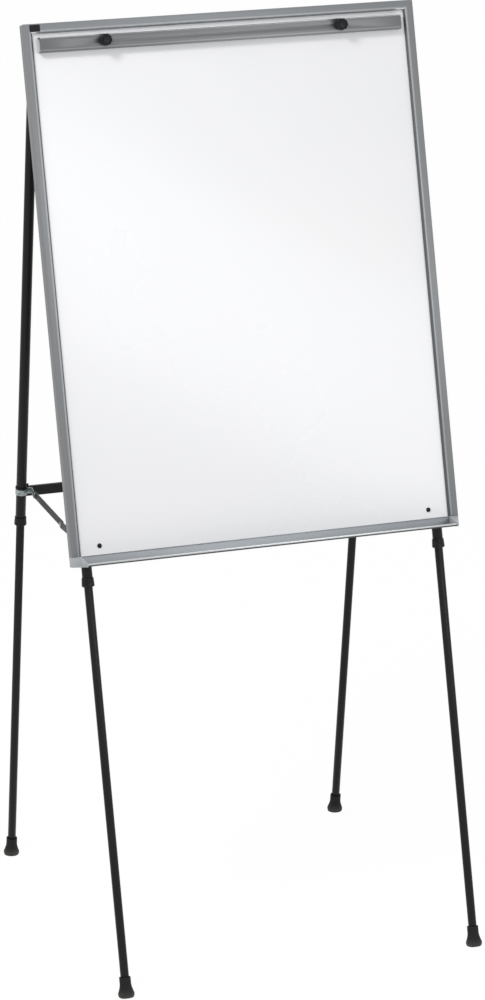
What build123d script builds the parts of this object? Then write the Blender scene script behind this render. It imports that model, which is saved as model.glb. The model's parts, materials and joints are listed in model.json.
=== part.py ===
from build123d import *
from math import cos, radians, sin, sqrt, tan
import os

# Folding whiteboard easel. Millimetres, X to the viewer's right, Y to the back, Z up.
# The origin is on the floor, at the middle of the feet's outline.

# Stance
BOARD_TILT = 15.85          # board leans back from the vertical, degrees
REAR_LEAN = 7.65            # rear legs lean forward from the vertical, degrees
LEG_INSET = 30.9            # frame's outer edge to the leg's axis
RAIL_LINE_HEIGHT = 712.2    # floor to the line where the writing face meets the bottom rail

# Board frame
FRAME_WIDTH = 685.8
FRAME_TOP = 873.0           # rail line to the frame's top edge
BOTTOM_RAIL_HEIGHT = 16.0
FACE_WIDTH = 16.5           # width of the stiles and the top rail, seen from the front
RAIL_WALL = 1.4
CORNER_RADIUS = 2.5
BEVEL_WIDTH = 2.7           # sloped inner edge of the frame's face
BEVEL_DEPTH = 3.0
BEAD_WIDTH = 3.0            # raised rib beside the bevel
BEAD_RISE = 0.4
PANEL_SEAT_DEPTH = 6.0      # frame's front face to the writing face
PANEL_GRIP = 7.6            # how far the panel's edge runs into its slot
SLOT_CLEARANCE = 0.5        # panel edge to the slot's bottom
FIT_CLEARANCE = 0.1         # keys, tenons and bolts in their holes, each side
KEY_LEG = 60.0

# Panel
SHEET_THICKNESS = 0.6
CORE_THICKNESS = 7.2
PANEL_PLAY = 0.2            # panel back to the slot's rear wall

# Marker tray
TRAY_REACH = 33.0           # frame's front face to the front of the tray's edge strip
TRAY_FLOOR = 1.5
TRAY_LIP_HEIGHT = 5.2       # tray's underside to the strip's top
STRIP_THICKNESS = 1.5
STRIP_STEP = 0.4            # strip's lower part behind its upper part
STRIP_STEP_HEIGHT = 2.2
TONGUE_LENGTH = 0.5         # tray floor's tongue in the strip's groove
TONGUE_THICKNESS = 0.7
CAP_NOSE = 1.5              # end cap in front of the strip
CAP_DROP = 0.5              # end cap below the tray
CAP_FRONT_INSET = 14.6      # frame's outer edge to the cap's outer end at its front
CAP_TENON = 20.0
TENON_ROOT = 1.0            # tenon's start inside the cap
CAP_EDGE = 0.4              # chamfer along the outer side of the cap's underside

# Label plate, bare
LABEL_WIDTH = 17.5
LABEL_HEIGHT = 11.5
LABEL_THICKNESS = 0.8
LABEL_CORNER = 0.8
LABEL_LEFT = 12.0           # from the frame's left edge
LABEL_TOP = 1.8             # from the frame's top edge

# Pad retainer
BAR_END_GAP = 9.2           # stile's inner edge to the bar's end
BAR_HEIGHT = 27.3
BAR_BELOW_RAIL = 4.2        # bar's top edge below the top rail
BAR_STAND = 12.0            # writing face to the bar's front face
BAR_WALL = 1.6
BAR_GAP = 0.3               # bar's rear edges to the writing face
BAR_BEAD_RADIUS = 1.9
BAR_FOOT_BEVEL = 2.2
BAR_FOOT_STEP = 1.1         # bar's foot behind its face
STUD_FROM_BAR_END = 110.2
STUD_DIAMETER = 5.0
STUD_FROM_BAR_FOOT = 13.3
STUD_HEAD_DIAMETER = 12.0
STUD_HEAD_HEIGHT = 2.5
STUD_TIP = 11.0             # stud's tip in front of the bar's face
STUD_EDGE = 0.5
STUD_HOLE_PLAY = 0.3
NUT_FLATS = 8.0
NUT_HEIGHT = 3.2
KNOB_DIAMETER = 20.0
KNOB_HEIGHT = 13.0
KNOB_LOBES = 9
KNOB_SCALLOP = 1.6          # radius of the scallops between the lobes
KNOB_SCALLOP_OUT = 0.8      # scallops' centres outside the knob's edge
KNOB_EDGE = 0.9
KNOB_HUB_DIAMETER = 13.0
KNOB_HUB_HEIGHT = 2.5
KNOB_PLAY = 0.08            # radial, knob on stud
KNOB_GAP = 0.3              # knob's hub to the bar's face
KNOB_BORE_SPARE = 0.5       # knob's bore beyond the stud's tip

# Legs
UPPER_TUBE = 17.5
UPPER_WALL = 1.2
LOWER_TUBE = 14.2
LOWER_WALL = 1.0
LEG_STANDOFF = 9.0          # frame's back to the front leg's axis
REAR_AXIS_OFFSET = 33.0     # front leg's axis to the rear leg's axis, when folded flat
PIVOT_BELOW_TOP = 51.0      # frame's top edge to the rear legs' pivot
FRONT_TUBE_BELOW_TOP = 28.0 # frame's top edge to the front legs' upper ends
FRONT_TUBE_END = -40.6      # lower end of the front legs' upper tubes, from the rail line
REAR_TUBE_BELOW_PIVOT = 48.7 # brace pivot to the lower end of the rear legs' upper tubes
REAR_TUBE_OVER_PIVOT = 14.0
TUBE_OVERLAP = 97.0         # lower tube inside the upper one, legs drawn out
PLUG_HEAD = 3.0
PLUG_DEPTH = 10.0
PLUG_EDGE = 1.0
PLUG_PLAY = 0.05
BUSH_LENGTH = 16.0
BUSH_HEAD = 4.0
BUSH_PLAY = 0.08

# Twist collars
COLLAR_LENGTH = 15.4
COLLAR_ON_TUBE = 4.0        # collar's grip over the upper tube
COLLAR_TOP_DIAMETER = 19.8
COLLAR_FOOT_DIAMETER = 21.6
COLLAR_FOOT_BEVEL = 1.6
COLLAR_PLAY = 0.1           # radial, collar on tube
COLLAR_FLUTES = 12
COLLAR_FLUTE_RADIUS = 0.6
COLLAR_FLUTE_OUT = 0.2      # flutes' centres outside the collar's foot
COLLET_DIAMETER = 17.3
COLLET_SLOT = 1.0
COLLET_PLAY = 0.1           # radial, collet on lower tube
LIP_THICKNESS = 1.6

# Feet
FOOT_HEIGHT = 33.0
FOOT_NECK_DIAMETER = 19.2
FOOT_NECK_LENGTH = 11.0
FOOT_DIAMETER = 27.6
FOOT_RIM = 5.5              # floor to the foot's widest ring
FOOT_SOLE = 6.0             # rubber under the tube's end
FOOT_WEAR = 2.0             # rubber below the floor before it was worn flat
FOOT_ROUNDING = 3.5
FOOT_NECK_EDGE = 1.0
FOOT_FLARE = 0.34           # slope outwards just above the widest ring
FOOT_HEEL = 0.25            # slope downwards at the sole's edge

# Apex brackets
STEEL = 1.6
CHEEK = 2.0
CHEEK_PLAY = 0.45           # cheek to tube
BRACKET_BELOW_PIVOT = 24.0
BRACKET_ABOVE_PIVOT = 28.0
BRACKET_FLANGE = 28.0       # leg's axis to the inner edge of the flange
PIVOT_PIN = 6.0
PIVOT_PLAY = 0.1
PIVOT_NOSE = 11.0           # cheek's radius round the pivot
TUBE_RIVET = 5.0
TUBE_RIVET_BELOW_PIVOT = 10.0
PIVOT_PIN_HEAD = 10.2
TUBE_RIVET_HEAD = 8.5
RIVET_HEAD = 1.3            # height of the rivets' heads
HEAD_RIM = 0.4              # straight edge of a round head
SCREW_FROM_LEG = 20.0       # leg's axis to the screws of both brackets
SCREW_SHANK = 3.6
SCREW_HEAD = 7.6
SCREW_HEAD_HEIGHT = 2.4
WOOD_SCREW_LENGTH = 7.0
BRACKET_SCREW_INSET = 10.0

# Lower brackets
SADDLE_LOW = 1.5
SADDLE_HIGH = 26.0
SADDLE_FLANGE = 35.0        # leg's axis to the inner edge of the plate
SADDLE_PLAY = 0.05
EAR_ROOT = 8.0              # height of the ear where it leaves the plate
RAIL_CLEARANCE = 0.2        # ear to the bottom rail's back
BOARD_SCREW_UP = 14.5
BOARD_SCREW_DIAMETER = 4.0
BOARD_SCREW_HEAD = 8.0
BOARD_SCREW_DOME = 2.7
BOARD_SCREW_NUT = 7.0
BOARD_SCREW_NUT_HEIGHT = 3.2

# Brace
BRACE_FROM_LEG = 19.6       # leg's axis to the plane between the two links
LINK_GAP = 0.2              # each link to that plane
LINK_THICKNESS = 2.4
LINK_HEIGHT = 12.0
LINK_HOLE_PLAY = 0.1
LINK_RIVET = 5.0
LINK_RIVET_HEAD = 9.0
FRONT_PIVOT_UP = 0.0        # brace pivot on the lower bracket, from the rail line
FRONT_PIVOT_BACK = 3.5      # that pivot behind the front leg's axis
REAR_PIVOT_RISE = 1.5       # brace pivot on the rear leg, along the leg, above the rail line's height
REAR_PIVOT_REACH = 15.0     # that pivot in front of the rear leg's axis
REAR_LINK = 154.0           # pivot to elbow
ELBOW_SAG = 6.0             # elbow below the straight line between the pivots
EAR_THICKNESS = 2.4
EAR_RADIUS = 5.8
CLAMP_WALL = 1.25
CLAMP_HEIGHT = 10.2
CLAMP_EAR_THICKNESS = 1.3
CLAMP_TAB_GAP = 0.5
CLAMP_BOLT = 4.0
CLAMP_BOLT_FROM_LEG = 13.8
CLAMP_BOLT_HEAD = 6.6
CLAMP_BOLT_HEAD_HEIGHT = 2.4
CLAMP_BOLT_SOCKET = 4.0     # across the corners of the bolt's socket
CLAMP_BOLT_SOCKET_DEPTH = 1.2

# Cross bar
CROSS_BAR_HEIGHT = 18.0
CROSS_BAR_WALL = 1.5
CROSS_BAR_FLANGE = 5.0
CROSS_BAR_DROP = 11.3       # brace pivot to the bar's lower edge, along the rear leg
CROSS_BAR_END_GAP = 2.0     # bar's full height starts this far from the tube
CROSS_STRAP_HEIGHT = 3.8
CROSS_STRAP_RISE = 12.4     # brace pivot to the strap's upper edge
CROSS_LUG_WIDTH = 5.0       # upright lug at the bar's end that carries the strap

SIDES = ((-1, "left"), (1, "right"))

# Places worked out from the sizes above
tilt = radians(BOARD_TILT)
lean = radians(REAR_LEAN)
half_width = FRAME_WIDTH / 2
panel_back = PANEL_SEAT_DEPTH + 2 * SHEET_THICKNESS + CORE_THICKNESS
slot_back = panel_back + PANEL_PLAY
frame_depth = slot_back + RAIL_WALL
front_axis_depth = frame_depth + LEG_STANDOFF
leg_x = half_width - LEG_INSET
screw_x = leg_x - SCREW_FROM_LEG
brace_x = leg_x - BRACE_FROM_LEG
clamp_bolt_x = leg_x - CLAMP_BOLT_FROM_LEG
rear_axis_depth = front_axis_depth + REAR_AXIS_OFFSET
pivot_up = FRAME_TOP - PIVOT_BELOW_TOP
front_tube_top = FRAME_TOP - FRONT_TUBE_BELOW_TOP
tube_rivet_up = pivot_up - TUBE_RIVET_BELOW_PIVOT
bracket_low = pivot_up - BRACKET_BELOW_PIVOT
bracket_high = pivot_up + BRACKET_ABOVE_PIVOT
rear_pivot_up = RAIL_LINE_HEIGHT + REAR_PIVOT_RISE
rear_tube_end = rear_pivot_up - REAR_TUBE_BELOW_PIVOT
cross_bar_low = rear_pivot_up - CROSS_BAR_DROP
cross_bar_high = cross_bar_low + CROSS_BAR_HEIGHT
front_foot_up = (front_axis_depth * sin(tilt) - RAIL_LINE_HEIGHT) / cos(tilt)
pivot_y = pivot_up * sin(tilt) + rear_axis_depth * cos(tilt)
pivot_z = RAIL_LINE_HEIGHT + pivot_up * cos(tilt) - rear_axis_depth * sin(tilt)
front_foot_y = front_foot_up * sin(tilt) + front_axis_depth * cos(tilt)
rear_foot_y = pivot_y + pivot_z * tan(lean)
front_edge_y = front_foot_y + FOOT_RIM * sin(tilt) - FOOT_DIAMETER / 2 * cos(tilt)
rear_edge_y = rear_foot_y - FOOT_RIM * sin(lean) + FOOT_DIAMETER / 2 * cos(lean)
middle_y = (front_edge_y + rear_edge_y) / 2

# BOARD: x across, y up the board, z out of its front. The rail line is at y = 0, z = 0.
BOARD = Plane(
    origin=(0, -middle_y, RAIL_LINE_HEIGHT),
    x_dir=(1, 0, 0),
    z_dir=(0, -cos(tilt), sin(tilt)),
)
# REAR: the same for the rear legs, with y = 0 where their axes meet the floor.
REAR = Plane(
    origin=(0, rear_foot_y - middle_y, 0),
    x_dir=(1, 0, 0),
    z_dir=(0, -cos(lean), -sin(lean)),
)
OUTWARD = Axis(BOARD.origin, BOARD.z_dir)

slot_reach = PANEL_GRIP + SLOT_CLEARANCE
inner_x = half_width - FACE_WIDTH
bar_end_x = inner_x - BAR_END_GAP
stud_x = bar_end_x - STUD_FROM_BAR_END
panel_x = inner_x + PANEL_GRIP
rail_bottom = -BOTTOM_RAIL_HEIGHT
tray_edge = -TRAY_REACH + STRIP_THICKNESS
cap_front_x = half_width - CAP_FRONT_INSET
panel_low = -PANEL_GRIP
panel_high = FRAME_TOP - FACE_WIDTH + PANEL_GRIP
bar_top = FRAME_TOP - FACE_WIDTH - BAR_BELOW_RAIL
bar_low = bar_top - BAR_HEIGHT
bar_face = PANEL_SEAT_DEPTH - BAR_STAND
stud_up = bar_low + STUD_FROM_BAR_FOOT
pivot_rise = sqrt((rear_foot_y - pivot_y) ** 2 + pivot_z**2)
upper_radius = UPPER_TUBE / 2
lower_radius = LOWER_TUBE / 2
upper_bore = UPPER_TUBE - 2 * UPPER_WALL
collar_low = COLLAR_ON_TUBE - COLLAR_LENGTH
link_inner_x = brace_x - LINK_GAP
link_outer_x = brace_x + LINK_GAP
bracket_ear_x = link_outer_x + LINK_THICKNESS + 2 * LINK_GAP

# Each leg: plane, axis depth, end of its upper tube and floor point, both along the leg
FRONT_LEG = (BOARD, front_axis_depth, FRONT_TUBE_END, front_foot_up)
REAR_LEG = (REAR, 0.0, rear_tube_end, 0.0)
LEGS = (("front", FRONT_LEG), ("rear", REAR_LEG))


def point(base, x, up, depth):
    """A point of a leaning plane: across, up the slope and behind its face."""
    return base.from_local_coords(Vector(x, up, -depth))


def facing(base, x, up, depth):
    """Plane that looks out of the front: sketch x across, y up."""
    return Plane(origin=point(base, x, up, depth), x_dir=base.x_dir, z_dir=base.z_dir)


def rising(base, x, up, depth):
    """Plane that looks up the slope: sketch x across, y to the back."""
    return Plane(origin=point(base, x, up, depth), x_dir=base.x_dir, z_dir=base.y_dir)


def sideways(base, x, up, depth):
    """Plane that looks to the right: sketch x to the back, y up."""
    return Plane(origin=point(base, x, up, depth), x_dir=-base.z_dir, z_dir=base.x_dir)


def slab(base, x_range, up_range, depth_range, mode=Mode.ADD):
    """Square-edged block between two values on each axis of a leaning plane."""
    width = abs(x_range[1] - x_range[0])
    height = abs(up_range[1] - up_range[0])
    middle = (sum(x_range) / 2, sum(up_range) / 2)
    with BuildSketch(facing(base, *middle, max(depth_range))) as outline:
        Rectangle(width, height)
    extrude(outline.sketch, amount=abs(depth_range[1] - depth_range[0]), mode=mode)


def rod(plane, diameter, length, mode=Mode.ADD):
    """Round bar that starts on a plane and runs along its normal."""
    with BuildSketch(plane) as outline:
        Circle(diameter / 2)
    extrude(outline.sketch, amount=length, mode=mode)


def round_head(plane, diameter, height):
    """Low domed head that stands on a plane."""
    section_plane = Plane(origin=plane.origin, x_dir=plane.x_dir, z_dir=-plane.y_dir)
    with BuildSketch(section_plane) as section:
        with BuildLine():
            Polyline((diameter / 2, HEAD_RIM), (diameter / 2, 0), (0, 0), (0, height))
            TangentArc((0, height), (diameter / 2, HEAD_RIM), tangent=(1, 0))
        make_face()
    revolve(section.sketch, axis=Axis(plane.origin, plane.z_dir))


def save(piece, name):
    """Name a finished piece and write it."""
    piece.part.label = name
    export_step(piece.part, f"parts/{name}.step")


os.makedirs("parts", exist_ok=True)


# Aluminium frame

def frame_section():
    """Section of the stiles and the top rail: x from the outer edge inwards, y to the back."""
    bead_low = FACE_WIDTH - BEVEL_WIDTH - BEAD_WIDTH
    bead_high = FACE_WIDTH - BEVEL_WIDTH
    with BuildLine() as outline:
        Polyline((0, 0), (bead_low, 0))
        ThreePointArc((bead_low, 0), (bead_low + BEAD_WIDTH / 2, -BEAD_RISE), (bead_high, 0))
        Polyline(
            (bead_high, 0),
            (FACE_WIDTH, BEVEL_DEPTH),
            (FACE_WIDTH, frame_depth),
            (0, frame_depth),
            (0, 0),
        )
    make_face(outline.edges())
    slot_floor = FACE_WIDTH - slot_reach
    chamber_high = slot_floor - RAIL_WALL
    room(RAIL_WALL, chamber_high, RAIL_WALL, frame_depth - RAIL_WALL)
    room(slot_floor, FACE_WIDTH, PANEL_SEAT_DEPTH, slot_back)
    room(slot_floor, bead_high, RAIL_WALL, PANEL_SEAT_DEPTH - RAIL_WALL)


def room(low_x, high_x, low_y, high_y):
    """Rectangular hollow in the section being drawn."""
    with Locations(((low_x + high_x) / 2, (low_y + high_y) / 2)):
        Rectangle(high_x - low_x, high_y - low_y, mode=Mode.SUBTRACT)


def rounded_outline():
    """Cuts a rail of the frame to the rounded outline of the whole frame."""
    with BuildSketch(facing(BOARD, 0, 0, frame_depth)) as outline:
        with Locations((0, FRAME_TOP / 2)):
            Rectangle(FRAME_WIDTH, FRAME_TOP)
        fillet(vertices().group_by(Axis.Y)[-1], CORNER_RADIUS)
    extrude(outline.sketch, amount=frame_depth + BEAD_RISE, mode=Mode.INTERSECT)


def mitre(side, keep):
    """Cuts a rail along the diagonal of one of the top corners."""
    normal = BOARD.y_dir - BOARD.x_dir * side
    cut = Plane(origin=point(BOARD, side * half_width, FRAME_TOP, 0), z_dir=normal)
    split(bisect_by=cut, keep=keep)


with BuildPart() as top_rail:
    start = point(BOARD, -half_width, FRAME_TOP, 0)
    with BuildSketch(Plane(origin=start, x_dir=-BOARD.y_dir, z_dir=BOARD.x_dir)):
        frame_section()
    extrude(amount=FRAME_WIDTH)
    mitre(-1, Keep.TOP)
    mitre(1, Keep.TOP)
    rounded_outline()
save(top_rail, "top_rail")

for side, hand in SIDES:
    with BuildPart() as stile:
        start = point(BOARD, side * half_width, 0, 0)
        section_plane = Plane(origin=start, x_dir=-side * BOARD.x_dir, z_dir=-side * BOARD.y_dir)
        with BuildSketch(section_plane):
            frame_section()
        extrude(amount=-side * FRAME_TOP)
        mitre(side, Keep.BOTTOM)
        rounded_outline()
    save(stile, f"{hand}_stile")

with BuildPart() as corner_keys:
    key_offset = RAIL_WALL + FIT_CLEARANCE
    key_width = FACE_WIDTH - slot_reach - 2 * RAIL_WALL - 2 * FIT_CLEARANCE
    for side, hand in SIDES:
        outer = side * (half_width - key_offset)
        low = FRAME_TOP - key_offset
        depths = (key_offset, frame_depth - key_offset)
        slab(BOARD, (outer, outer - side * KEY_LEG), (low - key_width, low), depths)
        slab(BOARD, (outer, outer - side * key_width), (low - KEY_LEG, low), depths)
save(corner_keys, "corner_keys")

with BuildPart() as bottom_rail:
    # One section holds the panel's lower edge and carries the marker tray's floor.
    with BuildSketch(sideways(BOARD, -inner_x, 0, 0)):
        with BuildLine():
            Polyline(
                (0, 0),
                (frame_depth, 0),
                (frame_depth, rail_bottom),
                (tray_edge, rail_bottom),
                (tray_edge, rail_bottom + TRAY_FLOOR),
                (0, rail_bottom + TRAY_FLOOR),
                (0, 0),
            )
        make_face()
        with Locations((tray_edge - TONGUE_LENGTH / 2, rail_bottom + TRAY_FLOOR / 2)):
            Rectangle(TONGUE_LENGTH, TONGUE_THICKNESS)
        slot_floor = -slot_reach
        room(PANEL_SEAT_DEPTH, slot_back, slot_floor, 0)
        room(RAIL_WALL, PANEL_SEAT_DEPTH - RAIL_WALL, slot_floor, -RAIL_WALL)
        room(RAIL_WALL, frame_depth - RAIL_WALL, rail_bottom + RAIL_WALL, slot_floor - RAIL_WALL)
    extrude(amount=2 * inner_x)
save(bottom_rail, "bottom_rail")

with BuildPart() as edge_strip:
    # Bright strip on the tray's front edge: its groove takes the floor's tongue.
    with BuildSketch(sideways(BOARD, -inner_x, 0, 0)):
        with BuildLine():
            Polyline(
                (tray_edge, rail_bottom),
                (tray_edge, rail_bottom + TRAY_LIP_HEIGHT),
                (-TRAY_REACH, rail_bottom + TRAY_LIP_HEIGHT),
                (-TRAY_REACH, rail_bottom + STRIP_STEP_HEIGHT),
                (-TRAY_REACH + STRIP_STEP, rail_bottom + STRIP_STEP_HEIGHT),
                (-TRAY_REACH + STRIP_STEP, rail_bottom),
                (tray_edge, rail_bottom),
            )
        make_face()
        groove_floor = tray_edge - TONGUE_LENGTH - FIT_CLEARANCE
        groove_low = rail_bottom + (TRAY_FLOOR - TONGUE_THICKNESS) / 2
        room(groove_floor, tray_edge, groove_low, groove_low + TONGUE_THICKNESS)
    extrude(amount=2 * inner_x)
save(edge_strip, "tray_edge_strip")


# Tray end caps

def end_cap(side):
    """Moulded cap over one end of the bottom rail and tray, with tenons into both hollows."""
    nose = -TRAY_REACH - CAP_NOSE
    base = rail_bottom - CAP_DROP
    lip_top = rail_bottom + TRAY_LIP_HEIGHT
    with BuildPart() as cap:
        with BuildSketch(rising(BOARD, 0, base, 0)):
            with BuildLine():
                Polyline(
                    (side * cap_front_x, nose),
                    (side * inner_x, nose),
                    (side * inner_x, frame_depth),
                    (side * half_width, frame_depth),
                    (side * half_width, 0),
                    (side * cap_front_x, nose),
                )
            make_face()
        extrude(amount=-base)
        with BuildSketch(sideways(BOARD, -half_width, 0, 0)):
            with BuildLine():
                Polyline(
                    (0, 0),
                    (frame_depth, 0),
                    (frame_depth, base),
                    (nose, base),
                    (nose, lip_top),
                    (0, 0),
                )
            make_face()
        extrude(amount=FRAME_WIDTH, mode=Mode.INTERSECT)
        underside = faces().sort_by(Axis(BOARD.origin, BOARD.y_dir))[0]
        outer_edges = underside.edges().sort_by(Axis.X, reverse=side > 0)[:2]
        chamfer(outer_edges, CAP_EDGE)
        # Slot for the panel's lower corner
        slab(
            BOARD,
            (side * inner_x, side * (inner_x + slot_reach)),
            (-slot_reach, 0),
            (PANEL_SEAT_DEPTH, slot_back),
            Mode.SUBTRACT,
        )
        # Tenon into the bottom rail
        tenon_low = rail_bottom + RAIL_WALL + FIT_CLEARANCE
        tenon_high = -slot_reach - RAIL_WALL - FIT_CLEARANCE
        depths = (RAIL_WALL + FIT_CLEARANCE, frame_depth - RAIL_WALL - FIT_CLEARANCE)
        slab(
            BOARD,
            (side * inner_x, side * (inner_x - CAP_TENON)),
            (tenon_low, tenon_high),
            depths,
        )
        # Tenon up into the stile
        outer = half_width - RAIL_WALL - FIT_CLEARANCE
        inner = inner_x + slot_reach + RAIL_WALL + FIT_CLEARANCE
        slab(BOARD, (side * outer, side * inner), (-TENON_ROOT, CAP_TENON), depths)
    return cap


for side, hand in SIDES:
    save(end_cap(side), f"tray_end_cap_{hand}")


# Panel: steel writing sheet, board core and backing sheet

def panel_layer(front, thickness):
    """One layer of the panel, with the holes for the studs and the board screws."""
    with BuildPart() as layer:
        depths = (front, front + thickness)
        slab(BOARD, (-panel_x, panel_x), (panel_low, panel_high), depths)
        for x, up, size in panel_holes:
            with BuildSketch(facing(BOARD, x, up, front + thickness)):
                Circle(size / 2 + FIT_CLEARANCE)
            extrude(amount=thickness, mode=Mode.SUBTRACT)
    return layer


panel_holes = [(side * stud_x, stud_up, STUD_DIAMETER) for side, hand in SIDES]
panel_holes += [(side * screw_x, BOARD_SCREW_UP, BOARD_SCREW_DIAMETER) for side, hand in SIDES]
bracket_screws_up = (bracket_low + BRACKET_SCREW_INSET, bracket_high - BRACKET_SCREW_INSET)
rear_holes = [(side * screw_x, up, SCREW_SHANK) for side, hand in SIDES for up in bracket_screws_up]

writing_sheet = panel_layer(PANEL_SEAT_DEPTH, SHEET_THICKNESS)
save(writing_sheet, "writing_sheet")
core_front = PANEL_SEAT_DEPTH + SHEET_THICKNESS
panel_holes += rear_holes
save(panel_layer(core_front, CORE_THICKNESS), "board_core")
save(panel_layer(core_front + CORE_THICKNESS, SHEET_THICKNESS), "backing_sheet")

with BuildPart() as label_plate:
    label_x = -half_width + LABEL_LEFT + LABEL_WIDTH / 2
    label_up = FRAME_TOP - LABEL_TOP - LABEL_HEIGHT / 2
    with BuildSketch(facing(BOARD, label_x, label_up, -BEAD_RISE)):
        RectangleRounded(LABEL_WIDTH, LABEL_HEIGHT, LABEL_CORNER)
    extrude(amount=LABEL_THICKNESS)
save(label_plate, "label_plate")


# Pad retainer: a bar that two knobs press against the writing face

with BuildPart() as retainer_bar:
    with BuildSketch(sideways(BOARD, -bar_end_x, 0, 0)):
        bar_back = PANEL_SEAT_DEPTH - BAR_GAP
        with BuildLine():
            Polyline(
                (bar_back, bar_top),
                (bar_face, bar_top),
                (bar_face, bar_low + 2 * BAR_FOOT_BEVEL),
                (bar_face + BAR_FOOT_STEP, bar_low + BAR_FOOT_BEVEL),
                (bar_face + BAR_FOOT_STEP, bar_low),
                (bar_back, bar_low),
                (bar_back, bar_low + BAR_WALL),
                (bar_face + BAR_FOOT_STEP + BAR_WALL, bar_low + BAR_WALL),
                (bar_face + BAR_FOOT_STEP + BAR_WALL, bar_low + BAR_FOOT_BEVEL),
                (bar_face + BAR_WALL, bar_low + 2 * BAR_FOOT_BEVEL),
                (bar_face + BAR_WALL, bar_top - BAR_WALL),
                (bar_back, bar_top - BAR_WALL),
                (bar_back, bar_top),
            )
        make_face()
        with Locations((bar_face, bar_top - BAR_BEAD_RADIUS)):
            Circle(BAR_BEAD_RADIUS)
    extrude(amount=2 * bar_end_x)
    for side, hand in SIDES:
        hole = facing(BOARD, side * stud_x, stud_up, bar_face + BAR_WALL)
        rod(hole, STUD_DIAMETER + 2 * STUD_HOLE_PLAY, BAR_WALL, Mode.SUBTRACT)
save(retainer_bar, "retainer_bar")


def hexagon_nut(plane, flats, height, bore):
    """Hexagon nut on a plane, with its bore."""
    with BuildSketch(plane) as outline:
        RegularPolygon(flats / 2, 6, major_radius=False)
        Circle(bore / 2, mode=Mode.SUBTRACT)
    extrude(outline.sketch, amount=height)


with BuildPart() as retainer_studs:
    # The studs stand on heads behind the panel; a nut holds each against the writing face.
    for side, hand in SIDES:
        back = panel_back + STUD_HEAD_HEIGHT
        rod(facing(BOARD, side * stud_x, stud_up, back), STUD_HEAD_DIAMETER, STUD_HEAD_HEIGHT)
        shank = facing(BOARD, side * stud_x, stud_up, panel_back)
        rod(shank, STUD_DIAMETER, panel_back - bar_face + STUD_TIP)
    chamfer(faces().sort_by(OUTWARD)[-2:].edges(), STUD_EDGE)
    for side, hand in SIDES:
        seat = facing(BOARD, side * stud_x, stud_up, PANEL_SEAT_DEPTH)
        hexagon_nut(seat, NUT_FLATS, NUT_HEIGHT, STUD_DIAMETER + 2 * KNOB_PLAY)
save(retainer_studs, "retainer_studs_and_nuts")


def knob(side):
    """Lobed clamping knob with a hub, turning on the stud."""
    hub_depth = bar_face - KNOB_GAP
    with BuildPart() as piece:
        rod(facing(BOARD, side * stud_x, stud_up, hub_depth), KNOB_HUB_DIAMETER, KNOB_HUB_HEIGHT)
        with BuildSketch(facing(BOARD, side * stud_x, stud_up, hub_depth - KNOB_HUB_HEIGHT)):
            Circle(KNOB_DIAMETER / 2)
            with PolarLocations(KNOB_DIAMETER / 2 + KNOB_SCALLOP_OUT, KNOB_LOBES):
                Circle(KNOB_SCALLOP, mode=Mode.SUBTRACT)
        extrude(amount=KNOB_HEIGHT - KNOB_HUB_HEIGHT)
        chamfer(faces().sort_by(OUTWARD)[-1].edges(), KNOB_EDGE)
        bore = STUD_DIAMETER + 2 * KNOB_PLAY
        start = facing(BOARD, side * stud_x, stud_up, hub_depth)
        rod(start, bore, STUD_TIP - KNOB_GAP + KNOB_BORE_SPARE, Mode.SUBTRACT)
    return piece


for side, hand in SIDES:
    save(knob(side), f"knob_{hand}")


# Tubes, plugs, bushes and feet

def upper_tube(base, x, depth, low, high, rivet_up, rivet):
    """Upper tube with a cross hole for the rivet or pin of its bracket."""
    with BuildPart() as piece:
        with BuildSketch(rising(base, x, low, depth)):
            Circle(upper_radius)
            Circle(upper_bore / 2, mode=Mode.SUBTRACT)
        extrude(amount=high - low)
        cross = sideways(base, x - UPPER_TUBE, rivet_up, depth)
        rod(cross, rivet + 2 * PIVOT_PLAY, 2 * UPPER_TUBE, Mode.SUBTRACT)
    return piece


def lower_tube(base, x, depth, low, high):
    """Lower tube, open at both ends."""
    with BuildPart() as piece:
        with BuildSketch(rising(base, x, low, depth)):
            Circle(lower_radius)
            Circle(lower_radius - LOWER_WALL, mode=Mode.SUBTRACT)
        extrude(amount=high - low)
    return piece


def guide_bush(base, x, depth, top):
    """Bush in the lower tube's upper end; its head slides in the upper tube."""
    with BuildPart() as piece:
        rod(rising(base, x, top, depth), upper_bore - 2 * BUSH_PLAY, BUSH_HEAD)
        shank = LOWER_TUBE - 2 * LOWER_WALL - 2 * PLUG_PLAY
        rod(rising(base, x, top - BUSH_LENGTH + BUSH_HEAD, depth), shank, BUSH_LENGTH - BUSH_HEAD)
    return piece


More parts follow.
